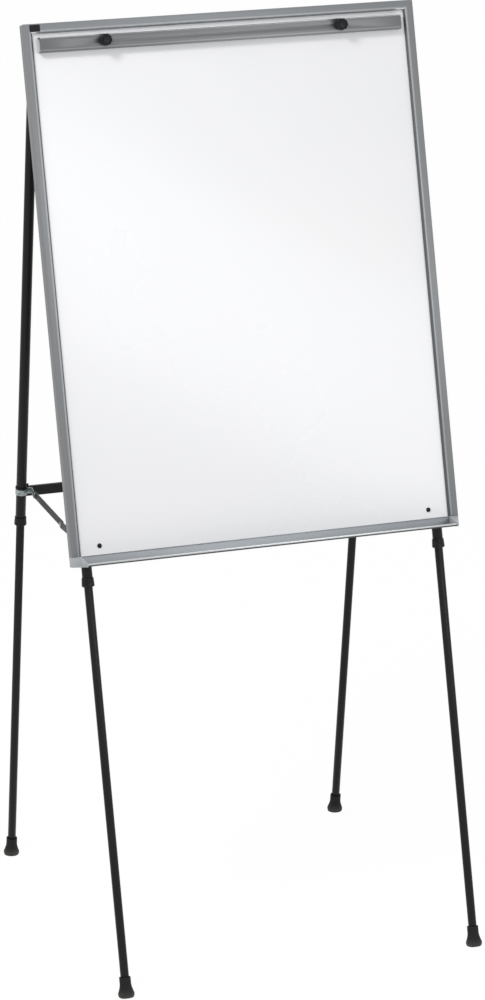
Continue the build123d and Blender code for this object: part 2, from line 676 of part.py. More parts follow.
def foot(base, x, depth, ground):
    """Rubber foot turned about the leg, worn flat where it meets the floor."""
    with BuildPart() as piece:
        axis_plane = sideways(base, x, ground, depth)
        with BuildSketch(axis_plane):
            with BuildLine():
                Polyline(
                    (0, -FOOT_WEAR),
                    (0, FOOT_HEIGHT),
                    (FOOT_NECK_DIAMETER / 2 - FOOT_NECK_EDGE, FOOT_HEIGHT),
                    (FOOT_NECK_DIAMETER / 2, FOOT_HEIGHT - FOOT_NECK_EDGE),
                    (FOOT_NECK_DIAMETER / 2, FOOT_HEIGHT - FOOT_NECK_LENGTH),
                )
                Spline(
                    (FOOT_NECK_DIAMETER / 2, FOOT_HEIGHT - FOOT_NECK_LENGTH),
                    (FOOT_DIAMETER / 2, FOOT_RIM),
                    tangents=((0, -1), (FOOT_FLARE, -1)),
                )
                Spline(
                    (FOOT_DIAMETER / 2, FOOT_RIM),
                    (FOOT_DIAMETER / 2 - FOOT_ROUNDING, -FOOT_WEAR),
                    tangents=((0, -1), (-1, -FOOT_HEEL)),
                )
                Line((FOOT_DIAMETER / 2 - FOOT_ROUNDING, -FOOT_WEAR), (0, -FOOT_WEAR))
            make_face()
        revolve(axis=Axis(axis_plane.origin, base.y_dir))
        split(bisect_by=Plane.XY, keep=Keep.TOP)
        socket = rising(base, x, ground + FOOT_SOLE, depth)
        rod(socket, LOWER_TUBE + 2 * PLUG_PLAY, FOOT_HEIGHT, Mode.SUBTRACT)
    return piece


def twist_collar(base, x, depth, tube_end):
    """Fluted collar that turns on the upper tube's end and squeezes the collet."""
    with BuildPart() as piece:
        axis_plane = sideways(base, x, tube_end, depth)
        foot_up = collar_low
        tube_room = upper_radius + COLLAR_PLAY
        lip_bore = lower_radius + 2 * COLLAR_PLAY
        with BuildSketch(axis_plane):
            with BuildLine():
                Polyline(
                    (tube_room, COLLAR_ON_TUBE),
                    (COLLAR_TOP_DIAMETER / 2, COLLAR_ON_TUBE),
                    (COLLAR_FOOT_DIAMETER / 2, foot_up + COLLAR_FOOT_BEVEL),
                    (COLLAR_FOOT_DIAMETER / 2 - COLLAR_FOOT_BEVEL, foot_up),
                    (lip_bore, foot_up),
                    (lip_bore, foot_up + LIP_THICKNESS),
                    (tube_room, foot_up + LIP_THICKNESS),
                    (tube_room, COLLAR_ON_TUBE),
                )
            make_face()
        revolve(axis=Axis(axis_plane.origin, base.y_dir))
        with BuildSketch(rising(base, x, tube_end + COLLAR_ON_TUBE, depth)):
            with PolarLocations(COLLAR_FOOT_DIAMETER / 2 + COLLAR_FLUTE_OUT, COLLAR_FLUTES):
                Circle(COLLAR_FLUTE_RADIUS)
        extrude(amount=-COLLAR_LENGTH, mode=Mode.SUBTRACT)
    return piece


def collet(base, x, depth, tube_end):
    """Split ring under the upper tube's end that grips the lower tube."""
    low = tube_end + collar_low + LIP_THICKNESS + COLLAR_PLAY
    with BuildSketch(rising(base, x, low, depth)) as outline:
        Circle(COLLET_DIAMETER / 2)
        Circle(lower_radius + COLLET_PLAY, mode=Mode.SUBTRACT)
        with Locations((0, COLLET_DIAMETER / 2)):
            Rectangle(COLLET_SLOT, COLLET_DIAMETER, mode=Mode.SUBTRACT)
    extrude(outline.sketch, amount=tube_end - low)


for leg, (base, depth, tube_end, ground) in LEGS:
    if leg == "front":
        tube_top = front_tube_top
        cross_hole = (tube_rivet_up, TUBE_RIVET)
    else:
        tube_top = pivot_rise + REAR_TUBE_OVER_PIVOT
        cross_hole = (pivot_rise, PIVOT_PIN)
    for side, hand in SIDES:
        x = side * leg_x
        low = ground + FOOT_SOLE
        high = tube_end + TUBE_OVERLAP
        upper = upper_tube(base, x, depth, tube_end, tube_top, *cross_hole)
        save(upper, f"{leg}_upper_tube_{hand}")
        save(lower_tube(base, x, depth, low, high), f"{leg}_lower_tube_{hand}")
        save(guide_bush(base, x, depth, high), f"{leg}_guide_bush_{hand}")
        save(foot(base, x, depth, ground), f"{leg}_foot_{hand}")
        save(twist_collar(base, x, depth, tube_end), f"{leg}_twist_collar_{hand}")
    with BuildPart() as collets:
        for side, hand in SIDES:
            collet(base, side * leg_x, depth, tube_end)
    save(collets, f"{leg}_collets")
    with BuildPart() as tube_plugs:
        for side, hand in SIDES:
            x = side * leg_x
            rod(rising(base, x, tube_top, depth), UPPER_TUBE, PLUG_HEAD)
            rod(rising(base, x, tube_top - PLUG_DEPTH, depth), upper_bore - 2 * PLUG_PLAY, PLUG_DEPTH)
        fillet(faces().sort_by(Axis(base.origin, base.y_dir))[-2:].edges(), PLUG_EDGE)
    save(tube_plugs, f"{leg}_tube_plugs")


# Apex brackets: fixed to the panel's back, they hold the front tubes and the rear legs' pivots

def hinge_bracket(side):
    """Folded bracket: a flange on the panel's back and two cheeks round both tubes."""
    cheek_in = upper_radius + CHEEK_PLAY
    cheek_out = cheek_in + CHEEK
    with BuildPart() as piece:
        slab(
            BOARD,
            (side * (leg_x - BRACKET_FLANGE), side * (leg_x + cheek_out)),
            (bracket_low, bracket_high),
            (panel_back, panel_back + STEEL),
        )
        for offset in (-cheek_out, cheek_in):
            with BuildSketch(sideways(BOARD, side * leg_x + offset, 0, 0)):
                with BuildLine():
                    Polyline(
                        (panel_back, bracket_low),
                        (panel_back, bracket_high),
                        (front_axis_depth, bracket_high),
                        (rear_axis_depth, pivot_up + PIVOT_NOSE),
                        (rear_axis_depth, pivot_up - PIVOT_NOSE),
                        (front_axis_depth, bracket_low),
                        (panel_back, bracket_low),
                    )
                make_face()
                with Locations((rear_axis_depth, pivot_up)):
                    Circle(PIVOT_NOSE)
                    Circle(PIVOT_PIN / 2 + FIT_CLEARANCE, mode=Mode.SUBTRACT)
                with Locations((front_axis_depth, tube_rivet_up)):
                    Circle(TUBE_RIVET / 2 + FIT_CLEARANCE, mode=Mode.SUBTRACT)
            extrude(amount=CHEEK)
        for up in bracket_screws_up:
            hole = facing(BOARD, side * screw_x, up, panel_back + STEEL)
            rod(hole, SCREW_SHANK + 2 * FIT_CLEARANCE, STEEL, Mode.SUBTRACT)
    return piece


for side, hand in SIDES:
    save(hinge_bracket(side), f"hinge_bracket_{hand}")


def cross_rivet(x, up, depth, diameter, head):
    """Rivet across a leg through both cheeks, with a round head at each end."""
    reach = upper_radius + CHEEK_PLAY + CHEEK
    rod(sideways(BOARD, x - reach, up, depth), diameter, 2 * reach)
    right = sideways(BOARD, x + reach, up, depth)
    round_head(right, head, RIVET_HEAD)
    left = sideways(BOARD, x - reach, up, depth)
    round_head(Plane(origin=left.origin, x_dir=left.x_dir, z_dir=-left.z_dir), head, RIVET_HEAD)


with BuildPart() as apex_pins:
    # The rear legs turn on the upper pins; the lower rivets hold the front tubes.
    for side, hand in SIDES:
        x = side * leg_x
        cross_rivet(x, pivot_up, rear_axis_depth, PIVOT_PIN, PIVOT_PIN_HEAD)
        cross_rivet(x, tube_rivet_up, front_axis_depth, TUBE_RIVET, TUBE_RIVET_HEAD)
save(apex_pins, "apex_pins_and_rivets")


# Lower brackets: a saddle round each front tube, with the ear of the brace pivot

def lower_bracket(side):
    """Plate on the panel's back with a ring round the tube and an ear for the brace."""
    ring_in = upper_radius + SADDLE_PLAY
    ring_out = front_axis_depth - panel_back - SADDLE_PLAY
    root_top = SADDLE_LOW + EAR_ROOT
    pivot_depth = front_axis_depth + FRONT_PIVOT_BACK
    with BuildPart() as piece:
        slab(
            BOARD,
            (side * (leg_x - SADDLE_FLANGE), side * leg_x),
            (SADDLE_LOW, SADDLE_HIGH),
            (panel_back, panel_back + STEEL),
        )
        ring = rising(BOARD, side * leg_x, SADDLE_LOW, front_axis_depth)
        rod(ring, 2 * ring_out, SADDLE_HIGH - SADDLE_LOW)
        rod(ring, 2 * ring_in, SADDLE_HIGH - SADDLE_LOW, Mode.SUBTRACT)
        with BuildSketch(sideways(BOARD, side * bracket_ear_x, 0, 0)):
            rail_back = frame_depth + RAIL_CLEARANCE
            with BuildLine():
                Polyline(
                    (panel_back, SADDLE_LOW),
                    (panel_back, root_top),
                    (front_axis_depth, root_top),
                    (pivot_depth + EAR_RADIUS, FRONT_PIVOT_UP),
                    (pivot_depth, FRONT_PIVOT_UP - EAR_RADIUS),
                    (rail_back, FRONT_PIVOT_UP - EAR_RADIUS / 2),
                    (rail_back, SADDLE_LOW),
                    (panel_back, SADDLE_LOW),
                )
            make_face()
            with Locations((pivot_depth, FRONT_PIVOT_UP)):
                Circle(EAR_RADIUS)
                Circle(LINK_RIVET / 2 + FIT_CLEARANCE, mode=Mode.SUBTRACT)
        extrude(amount=side * EAR_THICKNESS)
        hole = facing(BOARD, side * screw_x, BOARD_SCREW_UP, panel_back + STEEL)
        rod(hole, BOARD_SCREW_DIAMETER + 2 * FIT_CLEARANCE, STEEL, Mode.SUBTRACT)
    return piece


for side, hand in SIDES:
    save(lower_bracket(side), f"lower_bracket_{hand}")

with BuildPart() as panel_screws:
    # Wood screws hold the apex brackets, and through screws with nuts the lower ones.
    for side, hand in SIDES:
        x = side * screw_x
        for up in bracket_screws_up:
            seat = panel_back + STEEL
            rod(facing(BOARD, x, up, seat + SCREW_HEAD_HEIGHT), SCREW_HEAD, SCREW_HEAD_HEIGHT)
            rod(facing(BOARD, x, up, seat), SCREW_SHANK, WOOD_SCREW_LENGTH)
        tip = panel_back + STEEL + BOARD_SCREW_NUT_HEIGHT
        bore = BOARD_SCREW_DIAMETER + 2 * FIT_CLEARANCE
        rod(facing(BOARD, x, BOARD_SCREW_UP, tip), BOARD_SCREW_DIAMETER, tip - PANEL_SEAT_DEPTH)
        face = facing(BOARD, x, BOARD_SCREW_UP, PANEL_SEAT_DEPTH)
        round_head(face, BOARD_SCREW_HEAD, BOARD_SCREW_DOME)
        nut = facing(BOARD, x, BOARD_SCREW_UP, tip)
        hexagon_nut(nut, BOARD_SCREW_NUT, BOARD_SCREW_NUT_HEIGHT, bore)
save(panel_screws, "panel_screws_and_nuts")


# Rear frame: cross bar, brace clamps and their bolts

strap_in = upper_radius + SADDLE_PLAY
strap_out = strap_in + CROSS_BAR_WALL
strap_high = rear_pivot_up + CROSS_STRAP_RISE
strap_low = strap_high - CROSS_STRAP_HEIGHT
with BuildPart() as cross_bar:
    bar_end = leg_x - upper_radius - CROSS_BAR_END_GAP
    with BuildSketch(sideways(REAR, -bar_end, cross_bar_low, strap_in)):
        with Locations((CROSS_BAR_WALL / 2, CROSS_BAR_HEIGHT / 2)):
            Rectangle(CROSS_BAR_WALL, CROSS_BAR_HEIGHT)
        for up in (CROSS_BAR_WALL / 2, CROSS_BAR_HEIGHT - CROSS_BAR_WALL / 2):
            with Locations((CROSS_BAR_FLANGE / 2, up)):
                Rectangle(CROSS_BAR_FLANGE, CROSS_BAR_WALL)
    extrude(amount=2 * bar_end)
    for side, hand in SIDES:
        slab(
            REAR,
            (side * (bar_end - CROSS_LUG_WIDTH), side * bar_end),
            (cross_bar_high - CROSS_BAR_WALL, strap_high),
            (strap_in, strap_out),
        )
        slab(
            REAR,
            (side * bar_end, side * leg_x),
            (strap_low, strap_high),
            (strap_in, strap_out),
        )
        with BuildSketch(rising(REAR, side * leg_x, strap_low, 0)):
            Circle(strap_out)
            Circle(strap_in, mode=Mode.SUBTRACT)
        extrude(amount=CROSS_STRAP_HEIGHT)
save(cross_bar, "cross_bar")

clamp_low = strap_low - CLAMP_HEIGHT
clamp_middle = clamp_low + CLAMP_HEIGHT / 2
clamp_in = upper_radius + SADDLE_PLAY
clamp_out = clamp_in + CLAMP_WALL
ear_out = link_outer_x + CLAMP_EAR_THICKNESS
pivot_play = LINK_RIVET / 2 + FIT_CLEARANCE


def brace_clamp(side):
    """Band round the rear tube; its front tab turns forward into the ear of the brace pivot."""
    tab_in = CLAMP_TAB_GAP / 2
    tab_out = tab_in + CLAMP_WALL
    with BuildPart() as piece:
        band = rising(REAR, side * leg_x, clamp_low, 0)
        rod(band, 2 * clamp_out, CLAMP_HEIGHT)
        slab(
            REAR,
            (side * (leg_x - clamp_in), side * link_outer_x),
            (clamp_low, clamp_low + CLAMP_HEIGHT),
            (-tab_out, -tab_in),
        )
        slab(
            REAR,
            (side * (leg_x - clamp_in), side * (clamp_bolt_x - CLAMP_BOLT_HEAD / 2)),
            (clamp_low, clamp_low + CLAMP_HEIGHT),
            (tab_in, tab_out),
        )
        rod(band, 2 * clamp_in, CLAMP_HEIGHT, Mode.SUBTRACT)
        slab(
            REAR,
            (side * (leg_x - clamp_out), side * (leg_x - clamp_in + CLAMP_WALL)),
            (clamp_low, clamp_low + CLAMP_HEIGHT),
            (-tab_in, tab_in),
            Mode.SUBTRACT,
        )
        with BuildSketch(sideways(REAR, side * link_outer_x, 0, 0)):
            with BuildLine():
                Polyline(
                    (-tab_in, clamp_low),
                    (-tab_in, clamp_low + CLAMP_HEIGHT),
                    (-REAR_PIVOT_REACH, rear_pivot_up + EAR_RADIUS),
                    (-REAR_PIVOT_REACH, rear_pivot_up - EAR_RADIUS),
                    (-tab_in, clamp_low),
                )
            make_face()
            with Locations((-REAR_PIVOT_REACH, rear_pivot_up)):
                Circle(EAR_RADIUS)
                Circle(pivot_play, mode=Mode.SUBTRACT)
        extrude(amount=side * CLAMP_EAR_THICKNESS)
        bolt_hole = facing(REAR, side * clamp_bolt_x, clamp_middle, tab_out)
        rod(bolt_hole, CLAMP_BOLT + 2 * FIT_CLEARANCE, 2 * tab_out, Mode.SUBTRACT)
    return piece


for side, hand in SIDES:
    save(brace_clamp(side), f"brace_clamp_{hand}")

with BuildPart() as clamp_bolts:
    for side, hand in SIDES:
        x = side * clamp_bolt_x
        grip = CLAMP_TAB_GAP / 2 + CLAMP_WALL
        tip = grip + BOARD_SCREW_NUT_HEIGHT
        rod(facing(REAR, x, clamp_middle, tip), CLAMP_BOLT, tip + grip)
        rod(facing(REAR, x, clamp_middle, -grip), CLAMP_BOLT_HEAD, CLAMP_BOLT_HEAD_HEIGHT)
        socket_floor = CLAMP_BOLT_HEAD_HEIGHT - CLAMP_BOLT_SOCKET_DEPTH
        recess = facing(REAR, x, clamp_middle, -grip - socket_floor)
        with BuildSketch(recess):
            RegularPolygon(CLAMP_BOLT_SOCKET / 2, 6)
        extrude(amount=CLAMP_BOLT_HEAD_HEIGHT, mode=Mode.SUBTRACT)
        nut_seat = facing(REAR, x, clamp_middle, tip)
        bore = CLAMP_BOLT + 2 * FIT_CLEARANCE
        hexagon_nut(nut_seat, CLAMP_BOLT_HEAD, BOARD_SCREW_NUT_HEIGHT, bore)
save(clamp_bolts, "clamp_bolts_and_nuts")


# Folding braces. The elbow sags under the line between the pivots, against its stop.

rear_pivot = point(REAR, 0, rear_pivot_up, -REAR_PIVOT_REACH)
front_pivot = point(BOARD, 0, FRONT_PIVOT_UP, front_axis_depth + FRONT_PIVOT_BACK)
reach = front_pivot - rear_pivot
reach_line = reach.normalized()
reach_down = Vector(0, -reach_line.Z, reach_line.Y)
along = sqrt(REAR_LINK**2 - ELBOW_SAG**2)
elbow = rear_pivot + reach_line * along + reach_down * ELBOW_SAG


def brace_link(start, end, inner, outer, side):
    """Flat bar with round ends between two pivots."""
    line = (end - start).normalized()
    length = (end - start).length
    low_x = min(side * inner, side * outer)
    origin = Vector(low_x, start.Y, start.Z)
    with BuildPart() as piece:
        with BuildSketch(Plane(origin=origin, x_dir=line, z_dir=(1, 0, 0))):
            with Locations((length / 2, 0)):
                SlotCenterToCenter(length, LINK_HEIGHT)
            with Locations((0, 0), (length, 0)):
                Circle(LINK_RIVET / 2 + LINK_HOLE_PLAY, mode=Mode.SUBTRACT)
        extrude(amount=LINK_THICKNESS)
    return piece


def across(x, place, direction):
    """Plane at a point of the brace that looks along X, one way or the other."""
    return Plane(origin=(x, place.Y, place.Z), x_dir=(0, 1, 0), z_dir=(direction, 0, 0))


def link_rivet(place, low, high, side):
    """Rivet through plates between two distances from the middle, with two round heads."""
    rod(across(side * low, place, side), LINK_RIVET, high - low)
    round_head(across(side * high, place, side), LINK_RIVET_HEAD, RIVET_HEAD)
    round_head(across(side * low, place, -side), LINK_RIVET_HEAD, RIVET_HEAD)


def half_rivet(place, flush, seat, side):
    """Half of the elbow's rivet: flush where the links meet, headed on the link's far side."""
    direction = side if seat > flush else -side
    with BuildPart() as piece:
        rod(across(side * flush, place, direction), LINK_RIVET, abs(seat - flush))
        round_head(across(side * seat, place, direction), LINK_RIVET_HEAD, RIVET_HEAD)
    return piece


rear_far = link_inner_x - LINK_THICKNESS
front_far = link_outer_x + LINK_THICKNESS
for side, hand in SIDES:
    rear_link = brace_link(rear_pivot, elbow, link_inner_x, rear_far, side)
    save(rear_link, f"rear_link_{hand}")
    front_link = brace_link(front_pivot, elbow, link_outer_x, front_far, side)
    save(front_link, f"front_link_{hand}")
    save(half_rivet(elbow, link_inner_x, rear_far, side), f"elbow_rivet_inner_{hand}")
    save(half_rivet(elbow, link_outer_x, front_far, side), f"elbow_rivet_outer_{hand}")

with BuildPart() as rear_brace_rivets:
    for side, hand in SIDES:
        link_rivet(rear_pivot, rear_far - LINK_GAP, ear_out, side)
save(rear_brace_rivets, "rear_brace_rivets")

with BuildPart() as front_brace_rivets:
    for side, hand in SIDES:
        link_rivet(front_pivot, link_outer_x - LINK_GAP, bracket_ear_x + EAR_THICKNESS, side)
save(front_brace_rivets, "front_brace_rivets")
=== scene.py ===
# Folding whiteboard easel: its looks, built over its solid model.
# Metres, X to the viewer's right, Y to the back, Z up. A leaning piece is modelled upright,
# at the place that its node would have if the easel's legs stood plumb, and is then leaned
# about the X axis, which brings it onto its node.

import json
from math import atan2, cos, pi, radians, sin

import bmesh
import bpy
from mathutils import Matrix, Vector


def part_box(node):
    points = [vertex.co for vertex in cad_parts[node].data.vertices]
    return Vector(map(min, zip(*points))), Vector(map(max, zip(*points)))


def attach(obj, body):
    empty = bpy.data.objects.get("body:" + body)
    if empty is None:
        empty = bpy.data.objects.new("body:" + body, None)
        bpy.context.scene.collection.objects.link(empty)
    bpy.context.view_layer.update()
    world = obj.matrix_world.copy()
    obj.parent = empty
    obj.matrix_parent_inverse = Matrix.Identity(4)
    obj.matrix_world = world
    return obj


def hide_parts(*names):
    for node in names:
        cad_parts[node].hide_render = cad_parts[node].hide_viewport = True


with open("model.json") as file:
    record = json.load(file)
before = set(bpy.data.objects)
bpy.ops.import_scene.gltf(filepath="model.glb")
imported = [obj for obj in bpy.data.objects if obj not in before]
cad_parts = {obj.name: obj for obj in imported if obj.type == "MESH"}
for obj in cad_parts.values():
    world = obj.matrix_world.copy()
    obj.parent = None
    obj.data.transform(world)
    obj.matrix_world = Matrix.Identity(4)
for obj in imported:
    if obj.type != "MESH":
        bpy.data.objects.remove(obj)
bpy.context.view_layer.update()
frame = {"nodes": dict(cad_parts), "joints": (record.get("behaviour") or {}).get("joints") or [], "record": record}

record = frame["record"]
BODY_OF = {node: body for body, nodes in record["behaviour"]["bodies"].items() for node in nodes}
SLOT_OF = {part["node"]: part["material_slot"] for part in record["subparts"]}
JOINTS = {joint["name"]: joint for joint in frame["joints"]}

X = Vector((1, 0, 0))
Y = Vector((0, 1, 0))
Z = Vector((0, 0, 1))
SIDES = ((-1, "left"), (1, "right"))
HAIR = 0.00002              # slack when a vertex is looked for at a place
WELD = HAIR / 10            # corners nearer than this are one
FLAT_ANGLE = 0.5            # degrees; faces that meet at less than this are one
SHARP_ANGLE = 30            # degrees; edges sharper than this are rounded
CRISP_ANGLE = 35            # degrees; edges sharper than this stay crisp when shaded

# How far a face's normal has to reach along an axis for the face to count
SQUARE_ON = 0.9
FLAT_ON = 0.99
SLANTED = 0.5
SLOPE_SLANTED = 0.3         # on the top rail's inner slope and wall
BAR_FOOT_SLANTED = 0.2      # on the retainer's foot

# Rounding of edges
FRAME_ROUND = 0.00025
RAIL_ROUND = 0.0002         # bottom rail, retainer and tubes
FINE_ROUND = 0.00015        # edge strip, knobs and collars
LABEL_ROUND = 0.0001
CAP_ROUND = 0.0004
PRESSED_ROUND = 0.0003      # steel fittings
FOOT_ROUND = 0.0006

# Camera, worked out from the board's corners in the photograph
CAMERA_PLACE = (-2.2179, -6.1102, 2.7655)
CAMERA_YAW = 20.031
CAMERA_PITCH = 17.384
CAMERA_ROLL = 0.132
FOCAL_PIXELS = 4012.1
PHOTO_HEIGHT_PIXELS = 1000
SENSOR = 36.0
CLIP_START = 0.1
CLIP_END = 500

# Floor and light
FLOOR_SIZE = 200
FLOOR_GREY = 0.8
FLOOR_GLOW = 1.03
FLOOR_SHARE = 0.92          # share of the glow in what the camera sees; the rest shows shadow
SURROUNDING_LIGHT = 0.645
LAMPS = {                   # place, aim, width, height, power, roll in degrees
    "key": ((-1.7, -1.06, 3.39), (0, 0.05, 1.15), 0.6, 0.6, 33, 0),
    "sheen": ((1.0, -2.7, 1.8), (0, 0, 1.12), 2.2, 0.5, 13, -35),
}

# Frame extrusion
BEAD_WIDTH = 0.003          # raised rib beside the sloped inner edge
BEAD_RISE = 0.0004
BEAD_STEPS = 6
SLOPE_WIDTH = 0.0027        # sloped inner edge
SLOPE_DEPTH = 0.003
SEAT_DEPTH = 0.006          # front face to the writing face
SLOT_BACK = 0.0146          # back of the slot that grips the board
SLOT_REACH = 0.0081
CORNER_RADIUS = 0.0025
CORNER_STEP = 9             # degrees between the cuts that round a corner
RAIL_SPARE = 0.005          # rails are made this much too long, then cut to length

# Tray
TRAY_FLOOR = 0.0015
STRIP_STEP = 0.0004         # edge strip's lower part behind its upper part
STRIP_STEP_HEIGHT = 0.0022
TONGUE_LENGTH = 0.0005      # floor's tongue in the strip's groove
TONGUE_LOW = 0.0004
TONGUE_HIGH = 0.0011
GROOVE_DEPTH = 0.0006
RAIL_GROOVE_FOOT = 0.002    # rail's groove, below the rail's top
RAIL_GROOVE_HEAD = 0.0006
RAIL_GROOVE_DEPTH = 0.0008

# Pad retainer
BAR_WALL = 0.0016
BAR_BEAD_RADIUS = 0.0013
BAR_TOP_DROP = 0.0022       # the bar's rounded top below its node's
BAR_BEAD_STEPS = 8
BAR_FOOT_BEVEL = 0.0022
BAR_FOOT_STEP = 0.0011
STUD_HOLE = 0.0056

# Knobs
KNOB_LOBES = 9
KNOB_COLUMNS = 8            # columns of faces to a lobe
KNOB_HUB_RADIUS = 0.0065
KNOB_GAP = 0.0003           # knob's hub to the bar's face
KNOB_HUB_HEIGHT = 0.0025
KNOB_SHOULDER = 0.0012
KNOB_TOP_RADIUS = 0.0085    # the top's edges beyond this are the shoulder's
KNOB_SHOULDER_STEPS = 4
# Columns from the middle of a hollow between two lobes, and the radius there as a share
KNOB_HOLLOWS = ((0, 0.90), (1, 0.935), (2, 0.98))
# Rings on the knob's top, from its rim inwards: size of each to the last, and its rise
KNOB_TOP_RINGS = ((0.76, 0), (0.93, -0.0012), (0.88, 0), (0.95, 0.0012))

# Tubes and collars
TUBE_SIDES = 48
UPPER_WALL = 0.0012
LOWER_WALL = 0.001
COLLAR_SIDES = 96
COLLAR_FOOT_RADIUS = 0.0108
COLLAR_TOP_RADIUS = 0.0099
COLLAR_SKIN = 0.0005        # the outer faces lie more than this outside the bore
COLLAR_FLUTE_EVERY = 4
COLLAR_FLUTE_DEPTH = 0.0004
COLLAR_FLUTE_EDGE = 0.0002
COLLAR_RING = 0.0022        # plain ring at each end of the collar
COLLAR_BEVEL = 0.0016
COLLAR_LIP = 0.0016
COLLAR_ROOM = 0.0001

# Feet
FOOT_SIDES = 64
FOOT_HEIGHT = 0.033
FOOT_NECK_RADIUS = 0.0096
FOOT_NECK_LENGTH = 0.011
FOOT_RADIUS = 0.0138
FOOT_RIM = 0.0055
FOOT_SOLE_RADIUS = 0.0103
FOOT_WEAR = 0.002
FOOT_FLARE = 0.34
FOOT_TUBE_RADIUS = 0.00715
FOOT_SOCKET_FLOOR = 0.006
FOOT_STEPS = 8
FOOT_AXIS_HOLE = 0.0005     # radius of the holes on the axis that are closed after turning

# Links of the braces
LINK_WIDTH = 0.012
LINK_SIDES = 32

# Label plate
LABEL_CORNER = 0.0008
LABEL_CORNER_STEPS = 4
LABEL_BORDER = 0.0005
LABEL_SINK = 0.00015


# Places

def lean_of(joint_name):
    """Angle about X between plumb and the leg that slides along this joint."""
    axis = JOINTS[joint_name]["axis"]
    return atan2(-axis[1], axis[2])


BOARD_LEAN = lean_of("front_leg_left_slide")
REAR_LEAN = lean_of("rear_leg_left_slide")


def upright_box(node, lean):
    """Lowest and highest corner of a node once it is turned back by its lean."""
    turn = Matrix.Rotation(-lean, 3, "X")
    corners = [turn @ vertex.co for vertex in frame["nodes"][node].data.vertices]
    low = Vector([min(corner[axis] for corner in corners) for axis in range(3)])
    high = Vector([max(corner[axis] for corner in corners) for axis in range(3)])
    return low, high


# Shaping

def alone(piece):
    """Make a piece the only one selected."""
    bpy.ops.object.select_all(action="DESELECT")
    piece.select_set(True)
    bpy.context.view_layer.objects.active = piece


def fixed(piece):
    """Put a piece's place, turn and size into its mesh."""
    alone(piece)
    bpy.ops.object.transform_apply(location=True, rotation=True, scale=True)
    return piece


def added(name):
    """Name the primitive just added and put its place into its mesh."""
    piece = bpy.context.object
    piece.name = name
    return fixed(piece)


def block(name, low, high):
    """Square-edged bar between two corners."""
    low = Vector(low)
    high = Vector(high)
    bpy.ops.object.select_all(action="DESELECT")
    bpy.ops.mesh.primitive_cube_add(size=1, location=(low + high) / 2, scale=high - low)
    return added(name)


def round_bar(name, radius, low, high, sides):
    """Round bar on the Z axis between two heights."""
    bpy.ops.object.select_all(action="DESELECT")
    bpy.ops.mesh.primitive_cylinder_add(
        vertices=sides, radius=radius, depth=high - low, location=(0, 0, (low + high) / 2)
    )
    return added(name)


def turned(name, profile, sides):
    """Ring turned about the Z axis: radius and height of each corner of its closed section."""
    radius, height = profile[0]
    bpy.ops.object.select_all(action="DESELECT")
    bpy.ops.mesh.primitive_circle_add(vertices=sides, radius=radius, location=(0, 0, height))
    piece = added(name)
    open_mesh(piece, "EDGE")
    bpy.ops.mesh.select_all(action="SELECT")
    for next_radius, next_height in profile[1:] + profile[:1]:
        rise = (0, 0, next_height - height)
        bpy.ops.mesh.extrude_region_move(TRANSFORM_OT_translate={"value": rise})
        grow = next_radius / radius
        bpy.ops.transform.resize(value=(grow, grow, 1), center_override=(0, 0, next_height))
        radius = next_radius
        height = next_height
    weld()
    close_mesh()
    return piece


def open_mesh(piece, kind="FACE"):
    """Open a piece for editing."""
    alone(piece)
    bpy.ops.object.mode_set(mode="EDIT")
    bpy.ops.mesh.select_mode(type=kind)


def close_mesh():
    """Leave the open mesh."""
    bpy.ops.object.mode_set(mode="OBJECT")


def weld():
    """Join the open mesh's doubled corners and turn its faces outwards."""
    bpy.ops.mesh.select_all(action="SELECT")
    bpy.ops.mesh.remove_doubles(threshold=WELD)
    bpy.ops.mesh.normals_make_consistent(inside=False)


def pick(kind, test):
    """Select the open mesh's corners or faces whose place and normal pass a test."""
    bpy.ops.mesh.select_mode(type=kind)
    bpy.ops.mesh.select_all(action="DESELECT")
    mesh = bmesh.from_edit_mesh(bpy.context.edit_object.data)
    mesh.normal_update()
    if kind == "VERT":
        for corner in mesh.verts:
            corner.select_set(bool(test(corner.co, corner.normal)))
    else:
        for face in mesh.faces:
            face.select_set(bool(test(face.calc_center_median(), face.normal)))
    mesh.select_flush_mode()
    bmesh.update_edit_mesh(bpy.context.edit_object.data)


def pick_edges(test):
    """Select the open mesh's edges whose middle and direction pass a test."""
    bpy.ops.mesh.select_mode(type="EDGE")
    bpy.ops.mesh.select_all(action="DESELECT")
    mesh = bmesh.from_edit_mesh(bpy.context.edit_object.data)
    for edge in mesh.edges:
        start, end = edge.verts
        middle = (start.co + end.co) / 2
        edge.select_set(bool(test(middle, (end.co - start.co).normalized())))
    bmesh.update_edit_mesh(bpy.context.edit_object.data)


def cut(axis, *places):
    """Cut lines round the open mesh across an axis."""
    for place in places:
        bpy.ops.mesh.select_all(action="SELECT")
        bpy.ops.mesh.bisect(plane_co=axis * place, plane_no=axis)


def trim(point, outward):
    """Take off what lies beyond a plane and close the cut."""
    bpy.ops.mesh.select_all(action="SELECT")
    bpy.ops.mesh.bisect(
        plane_co=point, plane_no=outward, clear_outer=True, use_fill=True, threshold=WELD
    )


def trim_ends(half_length):
    """Cut a rail along X to its length, the same on both sides of the middle."""
    trim(X * half_length, X)
    trim(X * -half_length, -X)


def move(*by):
    """Move what is selected."""
    bpy.ops.transform.translate(value=by)


def pull(*by):
    """Extrude what is selected."""
    bpy.ops.mesh.extrude_region_move(TRANSFORM_OT_translate={"value": by})


def smooth(piece):
    """Smooth shading, with the sharp edges left crisp."""
    alone(piece)
    bpy.ops.object.shade_smooth_by_angle(angle=radians(CRISP_ANGLE))


def modified(piece, kind, **settings):
    """Add a modifier with its settings to a piece, and apply it."""
    alone(piece)
    bpy.ops.object.modifier_add(type=kind)
    modifier = piece.modifiers[-1]
    for name, value in settings.items():
        setattr(modifier, name, value)
    bpy.ops.object.modifier_apply(modifier=modifier.name)


